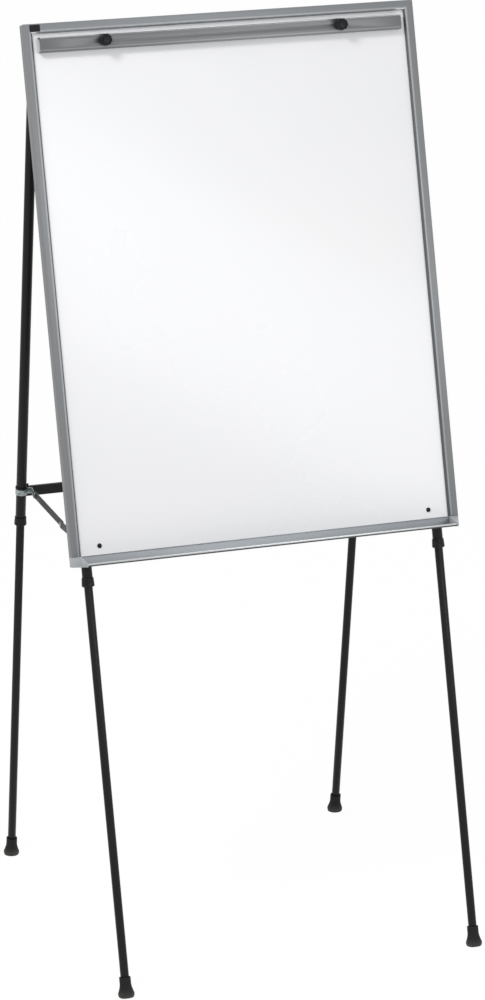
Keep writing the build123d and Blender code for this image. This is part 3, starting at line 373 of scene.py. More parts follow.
def soften(piece, width, segments=2, angle=SHARP_ANGLE):
    """Round a piece's sharp edges and smooth its faces."""
    modified(
        piece, "BEVEL", width=width, segments=segments,
        limit_method="ANGLE", angle_limit=radians(angle), harden_normals=False,
    )
    smooth(piece)


def carve(piece, cutter):
    """Take another shape out of a piece, and remove that shape."""
    modified(piece, "BOOLEAN", object=cutter, operation="DIFFERENCE", solver="EXACT")
    bpy.data.objects.remove(cutter)


def leaned(piece, lean):
    """Lean an upright piece about the X axis into its real place."""
    piece.rotation_euler.x = lean
    return fixed(piece)


def copied(piece, name):
    """Copy of a piece with a mesh of its own."""
    twin = piece.copy()
    twin.data = piece.data.copy()
    twin.name = name
    bpy.context.collection.objects.link(twin)
    return twin


def dressed(node, name, width):
    """A node's own shape with its loose triangles joined and its edges rounded."""
    piece = bpy.data.objects.new(name, frame["nodes"][node].data.copy())
    bpy.context.collection.objects.link(piece)
    alone(piece)
    bpy.ops.mesh.customdata_custom_splitnormals_clear()
    open_mesh(piece)
    bpy.ops.mesh.select_all(action="SELECT")
    bpy.ops.mesh.remove_doubles(threshold=WELD)
    bpy.ops.mesh.dissolve_limited(angle_limit=radians(FLAT_ANGLE))
    close_mesh()
    soften(piece, width)
    return piece


def fit(piece, node, *finishes):
    """Hang a piece on its node's body, in that node's stead, with its finishes."""
    piece.data.materials.clear()
    for finish in finishes or FINISHES[SLOT_OF[node]]:
        piece.data.materials.append(finish)
    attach(piece, BODY_OF[node])
    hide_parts(node)


# Shader groups

def shader_group(name, inputs, outputs):
    """Empty node group with named sockets; gives the group and its two end nodes."""
    group = bpy.data.node_groups.new(name, "ShaderNodeTree")
    for label, kind, value in inputs:
        socket = group.interface.new_socket(label, in_out="INPUT", socket_type=kind)
        if value is not None:
            socket.default_value = value
    for label, kind in outputs:
        group.interface.new_socket(label, in_out="OUTPUT", socket_type=kind)
    return group, group.nodes.new("NodeGroupInput"), group.nodes.new("NodeGroupOutput")


def node_in(tree, kind, **settings):
    """New node with its settings; an input is set or linked by its label or number."""
    node = tree.nodes.new(kind)
    inputs = settings.pop("inputs", {})
    for name, value in settings.items():
        setattr(node, name, value)
    for label, value in inputs.items():
        if isinstance(value, bpy.types.NodeSocket):
            tree.links.new(value, node.inputs[label])
        else:
            node.inputs[label].default_value = value
    return node


def drawn_grain():
    """Fine lines that run along an extrusion, from the drawing die."""
    inputs = [("Vector", "NodeSocketVector", None), ("Stretch", "NodeSocketVector", (1, 1, 1))]
    group, start, end = shader_group("Drawn grain", inputs, [("Line", "NodeSocketFloat")])
    scaled = node_in(
        group, "ShaderNodeVectorMath", operation="MULTIPLY",
        inputs={0: start.outputs["Vector"], 1: start.outputs["Stretch"]},
    )
    lines = node_in(
        group, "ShaderNodeTexNoise",
        inputs={"Vector": scaled.outputs[0], "Scale": 1.0, "Detail": 3.0, "Roughness": 0.6},
    )
    group.links.new(lines.outputs[0], end.inputs["Line"])
    return group


def pebble():
    """Fine pebbled surface of a powder coat, a moulding or rubber."""
    inputs = [("Vector", "NodeSocketVector", None), ("Size", "NodeSocketFloat", 0.001)]
    outputs = [("Height", "NodeSocketFloat"), ("Speck", "NodeSocketFloat")]
    group, start, end = shader_group("Pebble", inputs, outputs)
    scale = node_in(
        group, "ShaderNodeMath", operation="DIVIDE", inputs={0: 1.0, 1: start.outputs["Size"]}
    )
    grains = node_in(
        group, "ShaderNodeTexVoronoi", feature="SMOOTH_F1",
        inputs={"Vector": start.outputs["Vector"], "Scale": scale.outputs[0], "Smoothness": 0.6},
    )
    cloud = node_in(
        group, "ShaderNodeTexNoise",
        inputs={"Vector": start.outputs["Vector"], "Scale": scale.outputs[0], "Detail": 2.0},
    )
    group.links.new(grains.outputs["Distance"], end.inputs["Height"])
    group.links.new(cloud.outputs[0], end.inputs["Speck"])
    return group


def patches():
    """Large soft patches, for the slow change of a finish from place to place."""
    inputs = [
        ("Vector", "NodeSocketVector", None),
        ("Size", "NodeSocketFloat", 0.1),
        ("Low", "NodeSocketFloat", 0.0),
        ("High", "NodeSocketFloat", 1.0),
    ]
    group, start, end = shader_group("Patches", inputs, [("Amount", "NodeSocketFloat")])
    scale = node_in(
        group, "ShaderNodeMath", operation="DIVIDE", inputs={0: 1.0, 1: start.outputs["Size"]}
    )
    cloud = node_in(
        group, "ShaderNodeTexNoise",
        inputs={"Vector": start.outputs["Vector"], "Scale": scale.outputs[0], "Detail": 4.0},
    )
    spread = node_in(
        group, "ShaderNodeMapRange",
        inputs={
            "Value": cloud.outputs[0], "From Min": 0.3, "From Max": 0.7,
            "To Min": start.outputs["Low"], "To Max": start.outputs["High"],
        },
    )
    group.links.new(spread.outputs[0], end.inputs["Amount"])
    return group


def rubbed_edges():
    """Mask of the edges that hands and other pieces rub, broken up by a noise."""
    inputs = [("Vector", "NodeSocketVector", None), ("Width", "NodeSocketFloat", 0.0006)]
    group, start, end = shader_group("Rubbed edges", inputs, [("Mask", "NodeSocketFloat")])
    rounded = node_in(
        group, "ShaderNodeBevel", samples=4, inputs={"Radius": start.outputs["Width"]}
    )
    shape = node_in(group, "ShaderNodeNewGeometry")
    same = node_in(
        group, "ShaderNodeVectorMath", operation="DOT_PRODUCT",
        inputs={0: rounded.outputs[0], 1: shape.outputs["Normal"]},
    )
    edge = node_in(
        group, "ShaderNodeMapRange",
        inputs={"Value": same.outputs["Value"], "From Min": 0.995, "From Max": 0.93},
    )
    chips = node_in(
        group, "ShaderNodeTexNoise",
        inputs={"Vector": start.outputs["Vector"], "Scale": 240.0, "Detail": 3.0},
    )
    broken = node_in(
        group, "ShaderNodeMapRange",
        inputs={"Value": chips.outputs[0], "From Min": 0.42, "From Max": 0.62},
    )
    mask = node_in(
        group, "ShaderNodeMath", operation="MULTIPLY",
        inputs={0: edge.outputs[0], 1: broken.outputs[0]},
    )
    group.links.new(mask.outputs[0], end.inputs["Mask"])
    return group


def floor_dust():
    """Dust that gathers on what stands near the floor."""
    inputs = [("Vector", "NodeSocketVector", None), ("Height", "NodeSocketFloat", 0.03)]
    group, start, end = shader_group("Floor dust", inputs, [("Mask", "NodeSocketFloat")])
    parts = node_in(group, "ShaderNodeSeparateXYZ", inputs={0: start.outputs["Vector"]})
    low = node_in(
        group, "ShaderNodeMapRange", interpolation_type="SMOOTHSTEP",
        inputs={
            "Value": parts.outputs["Z"], "From Min": start.outputs["Height"],
            "From Max": 0.0, "To Min": 0.0, "To Max": 1.0,
        },
    )
    specks = node_in(
        group, "ShaderNodeTexNoise",
        inputs={"Vector": start.outputs["Vector"], "Scale": 320.0, "Detail": 4.0},
    )
    mask = node_in(
        group, "ShaderNodeMath", operation="MULTIPLY",
        inputs={0: low.outputs[0], 1: specks.outputs[0]},
    )
    group.links.new(mask.outputs[0], end.inputs["Mask"])
    return group


DRAWN_GRAIN = drawn_grain()
PEBBLE = pebble()
PATCHES = patches()
RUBBED_EDGES = rubbed_edges()
FLOOR_DUST = floor_dust()


# Finishes

WHITE = (1, 1, 1, 1)


def grey(value, blue=0.0):
    """Neutral colour, with a share of blue."""
    return (value * (1 - blue), value, value * (1 + blue), 1)


class Finish:
    """A material under way: its shader, the coordinates its patterns read, and its base colour."""

    def __init__(self, name, lean=0.0, **settings):
        self.base = None
        self.material = bpy.data.materials.new(name)
        self.material.use_nodes = True
        self.tree = self.material.node_tree
        self.shader = self.tree.nodes["Principled BSDF"]
        for label, value in settings.items():
            self.shader.inputs[label.replace("_", " ")].default_value = value
        place = self.add("ShaderNodeTexCoord")
        upright = self.add(
            "ShaderNodeMapping",
            inputs={"Vector": place.outputs["Object"], "Rotation": (-lean, 0, 0)},
        )
        self.place = upright.outputs[0]

    def add(self, kind, **settings):
        """New node in the material."""
        return node_in(self.tree, kind, **settings)

    def effect(self, group, **inputs):
        """Place a shader group that reads the material's coordinates."""
        node = self.add("ShaderNodeGroup", node_tree=group)
        self.tree.links.new(self.place, node.inputs["Vector"])
        for label, value in inputs.items():
            node.inputs[label].default_value = value
        return node.outputs

    def blend(self, amount, first, second):
        """Colour between two colours or sockets, by an amount."""
        mix = self.add("ShaderNodeMix", data_type="RGBA", inputs={0: amount})
        for socket, value in ((mix.inputs[6], first), (mix.inputs[7], second)):
            if isinstance(value, bpy.types.NodeSocket):
                self.tree.links.new(value, socket)
            else:
                socket.default_value = value
        return mix.outputs[2]

    def ranged(self, value, low, high):
        """A 0 to 1 value spread between two numbers."""
        return self.add(
            "ShaderNodeMapRange", inputs={"Value": value, "To Min": low, "To Max": high}
        ).outputs[0]

    def feed(self, label, socket):
        """Drive an input of the shader."""
        self.tree.links.new(socket, self.shader.inputs[label])

    def relief(self, height, strength, distance):
        """Bump the surface by a height."""
        bump = self.add(
            "ShaderNodeBump",
            inputs={"Height": height, "Strength": strength, "Distance": distance},
        )
        self.feed("Normal", bump.outputs["Normal"])


def aluminium(name, shade, stretch, blue=0.03, roughness=(0.34, 0.46)):
    """Satin anodised aluminium with the lines of its extrusion."""
    finish = Finish(name, BOARD_LEAN, Metallic=0.75)
    line = finish.effect(DRAWN_GRAIN, Stretch=stretch)["Line"]
    patch = finish.effect(PATCHES, Size=0.22)["Amount"]
    lined = finish.blend(line, grey(shade * 0.86, blue), grey(shade * 1.14, blue))
    slow = finish.blend(patch, grey(shade * 0.93, blue + 0.02), grey(shade * 1.05, blue - 0.01))
    base = finish.blend(0.45, lined, slow)
    worn = finish.effect(RUBBED_EDGES, Width=0.0005)["Mask"]
    finish.feed("Base Color", finish.blend(worn, base, grey(shade * 1.5, 0.02)))
    finish.feed("Roughness", finish.ranged(line, *roughness))
    finish.relief(line, 0.25, 0.00006)
    return finish.material


def white_enamel():
    """Glossy dry-wipe coat with a faint orange peel and wiping haze."""
    finish = Finish("white enamel", BOARD_LEAN, Coat_Weight=0.35, Coat_Roughness=0.12)
    haze = finish.effect(PATCHES, Size=0.35)["Amount"]
    finish.feed("Base Color", finish.blend(haze, (0.85, 0.857, 0.88, 1), (0.88, 0.88, 0.89, 1)))
    finish.feed("Roughness", finish.ranged(haze, 0.24, 0.34))
    peel = finish.effect(PEBBLE, Size=0.004)["Speck"]
    finish.relief(peel, 0.12, 0.00002)
    return finish.material


def coated(name, shade, roughness, pebble_size, relief, rub=0.0):
    """Dark coat, moulding or rubber: pebbled, a little uneven, lighter on its rubbed edges."""
    finish = Finish(name, Specular_IOR_Level=0.19)
    grain = finish.effect(PEBBLE, Size=pebble_size)
    patch = finish.effect(PATCHES, Size=0.06)["Amount"]
    base = finish.blend(patch, grey(shade * 0.8, 0.03), grey(shade * 1.2, 0.03))
    base = finish.blend(finish.ranged(grain["Speck"], 0.0, 0.5), base, grey(shade * 1.5, 0.03))
    if rub:
        worn = finish.effect(RUBBED_EDGES, Width=0.0006)["Mask"]
        base = finish.blend(worn, base, grey(rub, 0.03))
    finish.base = base
    finish.feed("Base Color", base)
    finish.feed("Roughness", finish.ranged(patch, roughness - 0.05, roughness + 0.07))
    finish.relief(grain["Height"], relief, 0.00005)
    return finish


def rubber():
    """Matt black rubber with floor dust on its lower part."""
    finish = coated("rubber", 0.012, 0.62, 0.0012, 0.3)
    dust = finish.effect(FLOOR_DUST, Height=0.016)["Mask"]
    finish.feed("Base Color", finish.blend(dust, finish.base, (0.12, 0.115, 0.105, 1)))
    return finish.material


def zinc():
    """Zinc plating: pale spangled metal with a faint blue-green cast."""
    finish = Finish("zinc plate", Metallic=0.9)
    cells = finish.add("ShaderNodeTexVoronoi", inputs={"Vector": finish.place, "Scale": 420.0})
    cell = finish.add("ShaderNodeSeparateColor", inputs={0: cells.outputs["Color"]}).outputs[0]
    patch = finish.effect(PATCHES, Size=0.007)["Amount"]
    spangle = finish.blend(cell, (0.26, 0.31, 0.30, 1), (0.5, 0.56, 0.55, 1))
    cloudy = finish.blend(patch, (0.07, 0.09, 0.09, 1), (0.5, 0.55, 0.54, 1))
    base = finish.blend(0.65, spangle, cloudy)
    worn = finish.effect(RUBBED_EDGES, Width=0.0004)["Mask"]
    finish.feed("Base Color", finish.blend(worn, base, (0.7, 0.73, 0.72, 1)))
    finish.feed("Roughness", finish.ranged(cell, 0.28, 0.44))
    finish.relief(patch, 0.15, 0.00004)
    return finish.material


def label_face():
    """Bare black face of the label plate."""
    finish = Finish("label face", BOARD_LEAN, Specular_IOR_Level=0.15)
    patch = finish.effect(PATCHES, Size=0.008)["Amount"]
    base = finish.blend(patch, (0.006, 0.006, 0.008, 1), (0.012, 0.012, 0.015, 1))
    finish.feed("Base Color", base)
    finish.feed("Roughness", finish.ranged(patch, 0.24, 0.36))
    return finish.material


def cap_plastic():
    """Satin grey moulding of the tray's ends."""
    finish = Finish("cap plastic", Roughness=0.4)
    grain = finish.effect(PEBBLE, Size=0.0009)
    patch = finish.effect(PATCHES, Size=0.03)["Amount"]
    base = finish.blend(patch, grey(0.38, 0.04), grey(0.46, 0.03))
    worn = finish.effect(RUBBED_EDGES, Width=0.0006)["Mask"]
    finish.feed("Base Color", finish.blend(worn, base, grey(0.85, 0.01)))
    finish.feed("Roughness", finish.ranged(patch, 0.34, 0.46))
    finish.relief(grain["Height"], 0.15, 0.00004)
    return finish.material


def fibreboard():
    """Raw edge of the panel's core."""
    finish = Finish("fibreboard", BOARD_LEAN, Roughness=0.85)
    fibre = finish.effect(PEBBLE, Size=0.0015)
    base = finish.blend(fibre["Speck"], (0.24, 0.16, 0.09, 1), (0.42, 0.3, 0.19, 1))
    finish.feed("Base Color", base)
    finish.relief(fibre["Height"], 0.4, 0.0002)
    return finish.material


def backing_paint():
    """Plain rolled backing sheet, with long rolling lines and a few dull patches."""
    finish = Finish("backing sheet", BOARD_LEAN, Metallic=0.55)
    line = finish.effect(DRAWN_GRAIN, Stretch=(900, 900, 3))["Line"]
    patch = finish.effect(PATCHES, Size=0.15)["Amount"]
    rolled = finish.blend(line, grey(0.36, 0.02), grey(0.46, 0.02))
    base = finish.blend(finish.ranged(patch, 0.0, 0.5), rolled, grey(0.33, 0.04))
    finish.feed("Base Color", base)
    finish.feed("Roughness", finish.ranged(patch, 0.38, 0.52))
    finish.relief(line, 0.2, 0.00006)
    return finish.material


# Stretch of the grain for extrusions that lie along X and along Z
ALONG_X = (5, 1500, 1500)
ALONG_Z = (1500, 1500, 5)
FRAME_UPRIGHT = aluminium("frame aluminium upright", 0.22, ALONG_Z)
FRAME_ACROSS = aluminium("frame aluminium across", 0.23, ALONG_X, 0.05)
# Several finishes below are the aluminium made lighter or darker to paint light and shade: painted highlights on
# the frame's ribs, the retainer's bead and foot bevel and the tray edge strip's face; painted light on the top
# rail's inner slope and wall; painted shade on the stiles' inner slopes and the edge strip's lower step.
RIB_PAINTED_HIGHLIGHT_UPRIGHT = aluminium("frame rib painted highlight upright", 0.34, ALONG_Z, 0.04)
RIB_PAINTED_HIGHLIGHT_ACROSS = aluminium("frame rib painted highlight across", 0.34, ALONG_X, 0.04)
SLOPE_PAINTED_SHADE_UPRIGHT = aluminium("frame inner slope painted shade upright", 0.13, ALONG_Z)
STEP_PAINTED_SHADE = aluminium("tray edge step painted shade", 0.06, ALONG_X)
TRAY_METAL = aluminium("tray aluminium", 0.30, ALONG_X, 0.06)
BAR_METAL = aluminium("retainer aluminium", 0.165, ALONG_X)
BAR_FOOT_PAINTED_HIGHLIGHT = aluminium("retainer foot painted highlight", 0.26, ALONG_X)
PAINTED_LIGHT_METAL = aluminium("aluminium with painted light", 0.78, ALONG_X, 0.02, roughness=(0.2, 0.3))
STRIP_PAINTED_HIGHLIGHT = aluminium("tray edge painted highlight", 0.5, ALONG_X, 0.02, roughness=(0.26, 0.36))
BLACK_STEEL = coated("black powder coat", 0.009, 0.34, 0.0009, 0.25, rub=0.05).material
BRACE_STEEL = coated("brace steel", 0.032, 0.42, 0.0009, 0.2, rub=0.12).material
BLACK_PLASTIC = coated("black moulding", 0.01, 0.34, 0.0006, 0.15, rub=0.04).material

FINISHES = {
    "frame_aluminium": [FRAME_UPRIGHT],
    "tray_aluminium": [TRAY_METAL],
    "retainer_aluminium": [BAR_METAL],
    "white_enamel": [white_enamel()],
    "board_core": [fibreboard()],
    "backing_paint": [backing_paint()],
    "label_black": [label_face()],
    "bright_aluminium": [STRIP_PAINTED_HIGHLIGHT],
    "cap_plastic": [cap_plastic()],
    "zinc": [zinc()],
    "black_steel": [BLACK_STEEL],
    "black_plastic": [BLACK_PLASTIC],
    "rubber": [rubber()],
}


# Aluminium frame

stile_low, stile_high = upright_box("right_stile", BOARD_LEAN)
HALF_WIDTH = stile_high.x
FACE_WIDTH = stile_high.x - stile_low.x
FRAME_FRONT = stile_low.y + BEAD_RISE
FRAME_DEPTH = stile_high.y - FRAME_FRONT
FRAME_LOW = stile_low.z
FRAME_TOP = upright_box("top_rail", BOARD_LEAN)[1].z


def frame_rail(name, length):
    """Spare-length piece of the extrusion: outer edge at x = 0, front at y = 0, along Z."""
    rail = block(name, (0, 0, -RAIL_SPARE), (FACE_WIDTH, FRAME_DEPTH, length + RAIL_SPARE))
    open_mesh(rail)
    slope_start = FACE_WIDTH - SLOPE_WIDTH
    bead_start = slope_start - BEAD_WIDTH
    step = BEAD_WIDTH / BEAD_STEPS
    cut(X, *[bead_start + step * line for line in range(BEAD_STEPS + 1)])
    for line in range(1, BEAD_STEPS):
        place = bead_start + step * line
        pick("VERT", lambda at, out: abs(at.x - place) < HAIR and at.y < HAIR)
        move(0, -BEAD_RISE * sin(pi * line / BEAD_STEPS), 0)
    pick("VERT", lambda at, out: at.x > FACE_WIDTH - HAIR and at.y < HAIR)
    move(0, SLOPE_DEPTH, 0)
    cut(Y, SEAT_DEPTH, SLOT_BACK)
    pick("FACE", lambda at, out: out.x > SQUARE_ON and SEAT_DEPTH < at.y < SLOT_BACK)
    pull(-SLOT_REACH, 0, 0)
    close_mesh()
    return rail


def mitred(rail, side, to_top_rail):
    """Cut a placed rail along the diagonal of a top corner and round that corner."""
    corner = Vector((side * HALF_WIDTH, 0, FRAME_TOP))
    outward = Vector((-side, 0, 1)).normalized()
    open_mesh(rail)
    trim(corner, -outward if to_top_rail else outward)
    centre = Vector((side * (HALF_WIDTH - CORNER_RADIUS), 0, FRAME_TOP - CORNER_RADIUS))
    for degree in range(CORNER_STEP, 90, CORNER_STEP):
        angle = radians(degree)
        facing = Vector((side * cos(angle), 0, sin(angle)))
        trim(centre + facing * CORNER_RADIUS, facing)
    close_mesh()


def paint(piece, index, test):
    """Give the faces whose place and normal pass a test one of the piece's finishes."""
    open_mesh(piece)
    pick("FACE", test)
    piece.active_material_index = index
    bpy.ops.object.material_slot_assign()
    close_mesh()


def stile(side, hand):
    """One upright of the frame."""
    rail = frame_rail(f"{hand}_stile_profile", FRAME_TOP - FRAME_LOW)
    rail.scale.x = -side
    rail.location = (side * HALF_WIDTH, FRAME_FRONT, FRAME_LOW)
    fixed(rail)
    open_mesh(rail)
    weld()
    trim(Z * FRAME_LOW, -Z)
    close_mesh()
    mitred(rail, side, False)
    soften(rail, FRAME_ROUND)
    fit(rail, f"{hand}_stile", FRAME_UPRIGHT, SLOPE_PAINTED_SHADE_UPRIGHT, RIB_PAINTED_HIGHLIGHT_UPRIGHT)
    recess = FRAME_FRONT + SEAT_DEPTH
    # Painted shade: the inner slope gets a darker aluminium that stands for the shade along the panel's edge.
    paint(rail, 1, lambda at, out: out.x * side < -SLANTED and at.y < recess)
    # Painted highlight: the raised rib beside the slope gets a lighter aluminium.
    paint(rail, 2, lambda at, out: at.y < FRAME_FRONT - HAIR)
    leaned(rail, BOARD_LEAN)


def top_rail():
    """The frame's top rail."""
    rail = frame_rail("top_rail_profile", 2 * HALF_WIDTH)
    rail.rotation_euler.y = pi / 2
    rail.location = (-HALF_WIDTH, FRAME_FRONT, FRAME_TOP)
    fixed(rail)
    for side, hand in SIDES:
        mitred(rail, side, True)
    soften(rail, FRAME_ROUND)
    fit(rail, "top_rail", FRAME_ACROSS, PAINTED_LIGHT_METAL, RIB_PAINTED_HIGHLIGHT_ACROSS)
    # Painted highlight: the raised rib gets a lighter aluminium.
    paint(rail, 2, lambda at, out: at.y < FRAME_FRONT - HAIR)
    # Painted light: the inner slope and the wall under it get a pale aluminium, so they read bright where they lie
    # in shade.
    paint(rail, 1, lambda at, out: out.z < -SLOPE_SLANTED and at.y < FRAME_FRONT + SEAT_DEPTH)
    leaned(rail, BOARD_LEAN)


def bottom_rail():
    """Bottom rail and the marker tray's floor in one extrusion."""
    low, high = upright_box("bottom_rail", BOARD_LEAN)
    end = high.x + RAIL_SPARE
    floor_reach = low.y + TONGUE_LENGTH - FRAME_FRONT
    rail = block("bottom_rail_profile", (-end, FRAME_FRONT, low.z), (end, high.y, high.z))
    open_mesh(rail)
    cut(Z, low.z + TRAY_FLOOR)
    pick("FACE", lambda at, out: out.y < -SQUARE_ON and at.z < low.z + TRAY_FLOOR)
    pull(0, floor_reach, 0)
    cut(Z, low.z + TONGUE_LOW, low.z + TONGUE_HIGH)
    tongue = (low.z + TONGUE_LOW, low.z + TONGUE_HIGH)
    pick("FACE", lambda at, out: out.y < -SQUARE_ON and tongue[0] < at.z < tongue[1])
    pull(0, -TONGUE_LENGTH, 0)
    seat = (FRAME_FRONT + SEAT_DEPTH, FRAME_FRONT + SLOT_BACK)
    cut(Y, *seat)
    pick("FACE", lambda at, out: out.z > SQUARE_ON and seat[0] < at.y < seat[1])
    pull(0, 0, -SLOT_REACH)
    # Fine groove along the front, just under the writing sheet's edge
    groove = (high.z - RAIL_GROOVE_FOOT, high.z - RAIL_GROOVE_HEAD)
    cut(Z, *groove)
    front = FRAME_FRONT + HAIR
    pick(
        "FACE",
        lambda at, out: out.y < -SQUARE_ON and groove[0] < at.z < groove[1] and at.y < front,
    )
    pull(0, RAIL_GROOVE_DEPTH, 0)
    trim_ends(high.x)
    close_mesh()
    soften(rail, RAIL_ROUND)
    fit(rail, "bottom_rail")
    leaned(rail, BOARD_LEAN)


def edge_strip():
    """Tray's front edge strip with its groove for the floor's tongue: a painted highlight on its face, painted
    shade on its lower step.
    """
    low, high = upright_box("tray_edge_strip", BOARD_LEAN)
    end = high.x + RAIL_SPARE
    front = low.y + STRIP_STEP
    strip = block("tray_edge_strip_profile", (-end, front, low.z), (end, high.y, high.z))
    open_mesh(strip)
    step = low.z + STRIP_STEP_HEIGHT
    cut(Z, step)
    pick("FACE", lambda at, out: out.y < -SQUARE_ON and at.z > step)
    pull(0, -STRIP_STEP, 0)
    groove = (low.z + TONGUE_LOW, low.z + TONGUE_HIGH)
    cut(Z, *groove)
    pick("FACE", lambda at, out: out.y > SQUARE_ON and groove[0] < at.z < groove[1])
    pull(0, -GROOVE_DEPTH, 0)
    trim_ends(high.x)
    close_mesh()
    soften(strip, FINE_ROUND)
    # Painted highlight: the strip's face is a lighter, smoother aluminium than the tray's.
    fit(strip, "tray_edge_strip", STRIP_PAINTED_HIGHLIGHT, STEP_PAINTED_SHADE)
    # Painted shade: the lower, set-back part of the strip's front is coloured dark.
    paint(strip, 1, lambda at, out: out.y < -SLANTED and at.z < step)
    leaned(strip, BOARD_LEAN)


for side, hand in SIDES:
    stile(side, hand)
top_rail()
bottom_rail()
edge_strip()
for side, hand in SIDES:
    cap = dressed(f"tray_end_cap_{hand}", f"tray_end_cap_{hand}_moulding", CAP_ROUND)
    fit(cap, f"tray_end_cap_{hand}")


# Label plate

def label_plate():
    """Bare black plate with a slightly sunk face."""
    low, high = upright_box("label_plate", BOARD_LEAN)
    plate = block("label_plate_face", low, high)
    open_mesh(plate)
    pick_edges(lambda at, along: abs(along.y) > SQUARE_ON)
    bpy.ops.mesh.bevel(offset=LABEL_CORNER, segments=LABEL_CORNER_STEPS, affect="EDGES")
    close_mesh()
    soften(plate, LABEL_ROUND, segments=1)
    fit(plate, "label_plate")
    open_mesh(plate)
    pick("FACE", lambda at, out: out.y < -FLAT_ON)
    bpy.ops.mesh.inset(thickness=LABEL_BORDER, depth=-LABEL_SINK)
    close_mesh()
    leaned(plate, BOARD_LEAN)


label_plate()


# Pad retainer

def retainer_bar():
    """Open-backed bar with a rounded bead along its top and a stepped foot; the bead and the foot's bevel carry
    painted highlights.
    """
    low, high = upright_box("retainer_bar", BOARD_LEAN)
    knob_back = upright_box("knob_left", BOARD_LEAN)[1].y
    high.z -= BAR_TOP_DROP
    face = knob_back + KNOB_GAP
    bar = block("retainer_bar_profile", (low.x, face, low.z), high)
    open_mesh(bar)
    pick("FACE", lambda at, out: out.y > SQUARE_ON or abs(out.x) > SQUARE_ON)
    bpy.ops.mesh.delete(type="FACE")
    bead_middle = high.z - BAR_BEAD_RADIUS
    for step in range(BAR_BEAD_STEPS):
        turn = pi * step / BAR_BEAD_STEPS - pi / 2
        line = bead_middle + BAR_BEAD_RADIUS * sin(turn)
        cut(Z, line)
        if step:
            pick("VERT", lambda at, out: abs(at.z - line) < HAIR and at.y < face + HAIR)
            move(0, -BAR_BEAD_RADIUS * cos(turn), 0)
    foot_line = low.z + BAR_FOOT_BEVEL
    cut(Z, foot_line, low.z + 2 * BAR_FOOT_BEVEL)
    pick("VERT", lambda at, out: at.z < foot_line + HAIR and at.y < face + HAIR)
    move(0, BAR_FOOT_STEP, 0)
    close_mesh()
    modified(bar, "SOLIDIFY", thickness=BAR_WALL, offset=-1, use_even_offset=True)
    for side, hand in SIDES:
        knob_low, knob_high = upright_box(f"knob_{hand}", BOARD_LEAN)
        middle = (knob_low + knob_high) / 2
        reach = 3 * BAR_WALL
        drill = round_bar("stud_drill", STUD_HOLE / 2, -reach, reach, TUBE_SIDES)
        drill.rotation_euler.x = pi / 2
        drill.location = (middle.x, face, middle.z)
        carve(bar, fixed(drill))
    soften(bar, RAIL_ROUND, angle=40)
    fit(bar, "retainer_bar", BAR_METAL, PAINTED_LIGHT_METAL, BAR_FOOT_PAINTED_HIGHLIGHT)
    # Painted highlight: the rounded bead in front of the face gets a pale aluminium.
    paint(bar, 1, lambda at, out: at.y < face - HAIR)
    face_line = bead_middle - 2 * BAR_BEAD_RADIUS

    def on_foot(at, out):
        slanted = out.y < -SLANTED and out.z < -BAR_FOOT_SLANTED
        return slanted and foot_line < at.z < face_line

    # Painted highlight: the foot's bevel gets a lighter aluminium.
    paint(bar, 2, on_foot)
    leaned(bar, BOARD_LEAN)


def knob_moulding():
    """Lobed knob on the Z axis, hub down, at the size of its node."""
    low, high = upright_box("knob_left", BOARD_LEAN)
    radius = (high.x - low.x) / 2
    height = high.y - low.y
    sides = KNOB_LOBES * KNOB_COLUMNS
    knob = round_bar("knob_pattern", radius, KNOB_HUB_HEIGHT, height, sides)
    open_mesh(knob)
    # Hollows between the lobes
    for away, squeeze in KNOB_HOLLOWS:
        columns = (away, -away % KNOB_COLUMNS)
        pick(
            "VERT",
            lambda at, out: round(atan2(at.x, at.y) / (2 * pi) * sides) % KNOB_COLUMNS in columns,
        )
        bpy.ops.transform.resize(value=(squeeze, squeeze, 1), center_override=(0, 0, 0))
    # Shoulder, dish and centre cap on the top
    pick("FACE", lambda at, out: out.z > SQUARE_ON)
    for size, rise in KNOB_TOP_RINGS:
        pull(0, 0, rise)
        bpy.ops.transform.resize(value=(size, size, 1), center_override=(0, 0, 0))
    # Hub under the lobes
    pick("FACE", lambda at, out: out.z < -SQUARE_ON)
    hub = KNOB_HUB_RADIUS / radius
    pull(0, 0, 0)
    bpy.ops.transform.resize(value=(hub, hub, 1), center_override=(0, 0, 0))
    pull(0, 0, -KNOB_HUB_HEIGHT)
    # Rounded shoulder
    pick_edges(lambda at, along: at.z > height - HAIR and at.xy.length > KNOB_TOP_RADIUS)
    bpy.ops.mesh.bevel(offset=KNOB_SHOULDER, segments=KNOB_SHOULDER_STEPS, affect="EDGES")
    close_mesh()
    soften(knob, FINE_ROUND, angle=40)
    return knob


retainer_bar()
pattern = knob_moulding()
for side, hand in SIDES:
    low, high = upright_box(f"knob_{hand}", BOARD_LEAN)
    middle = (low + high) / 2
    knob = copied(pattern, f"knob_{hand}_moulding")
    knob.rotation_euler.x = pi / 2
    knob.location = (middle.x, high.y, middle.z)
    fixed(knob)
    leaned(knob, BOARD_LEAN)
    fit(knob, f"knob_{hand}")
bpy.data.objects.remove(pattern)


# Legs

def pipe(name, node, lean, wall):
    """Drawn tube with open ends, in its node's place."""
    low, high = upright_box(node, lean)
    middle = (low + high) / 2
    radius = (high.x - low.x) / 2
    tube = round_bar(name, radius, low.z, high.z, TUBE_SIDES)
    open_mesh(tube)
    pick("FACE", lambda at, out: abs(out.z) > SQUARE_ON)
    bpy.ops.mesh.inset(thickness=wall)
    bpy.ops.mesh.bridge_edge_loops()
    close_mesh()
    soften(tube, RAIL_ROUND, angle=60)
    tube.location = (middle.x, middle.y, 0)
    leaned(fixed(tube), lean)
    fit(tube, node)


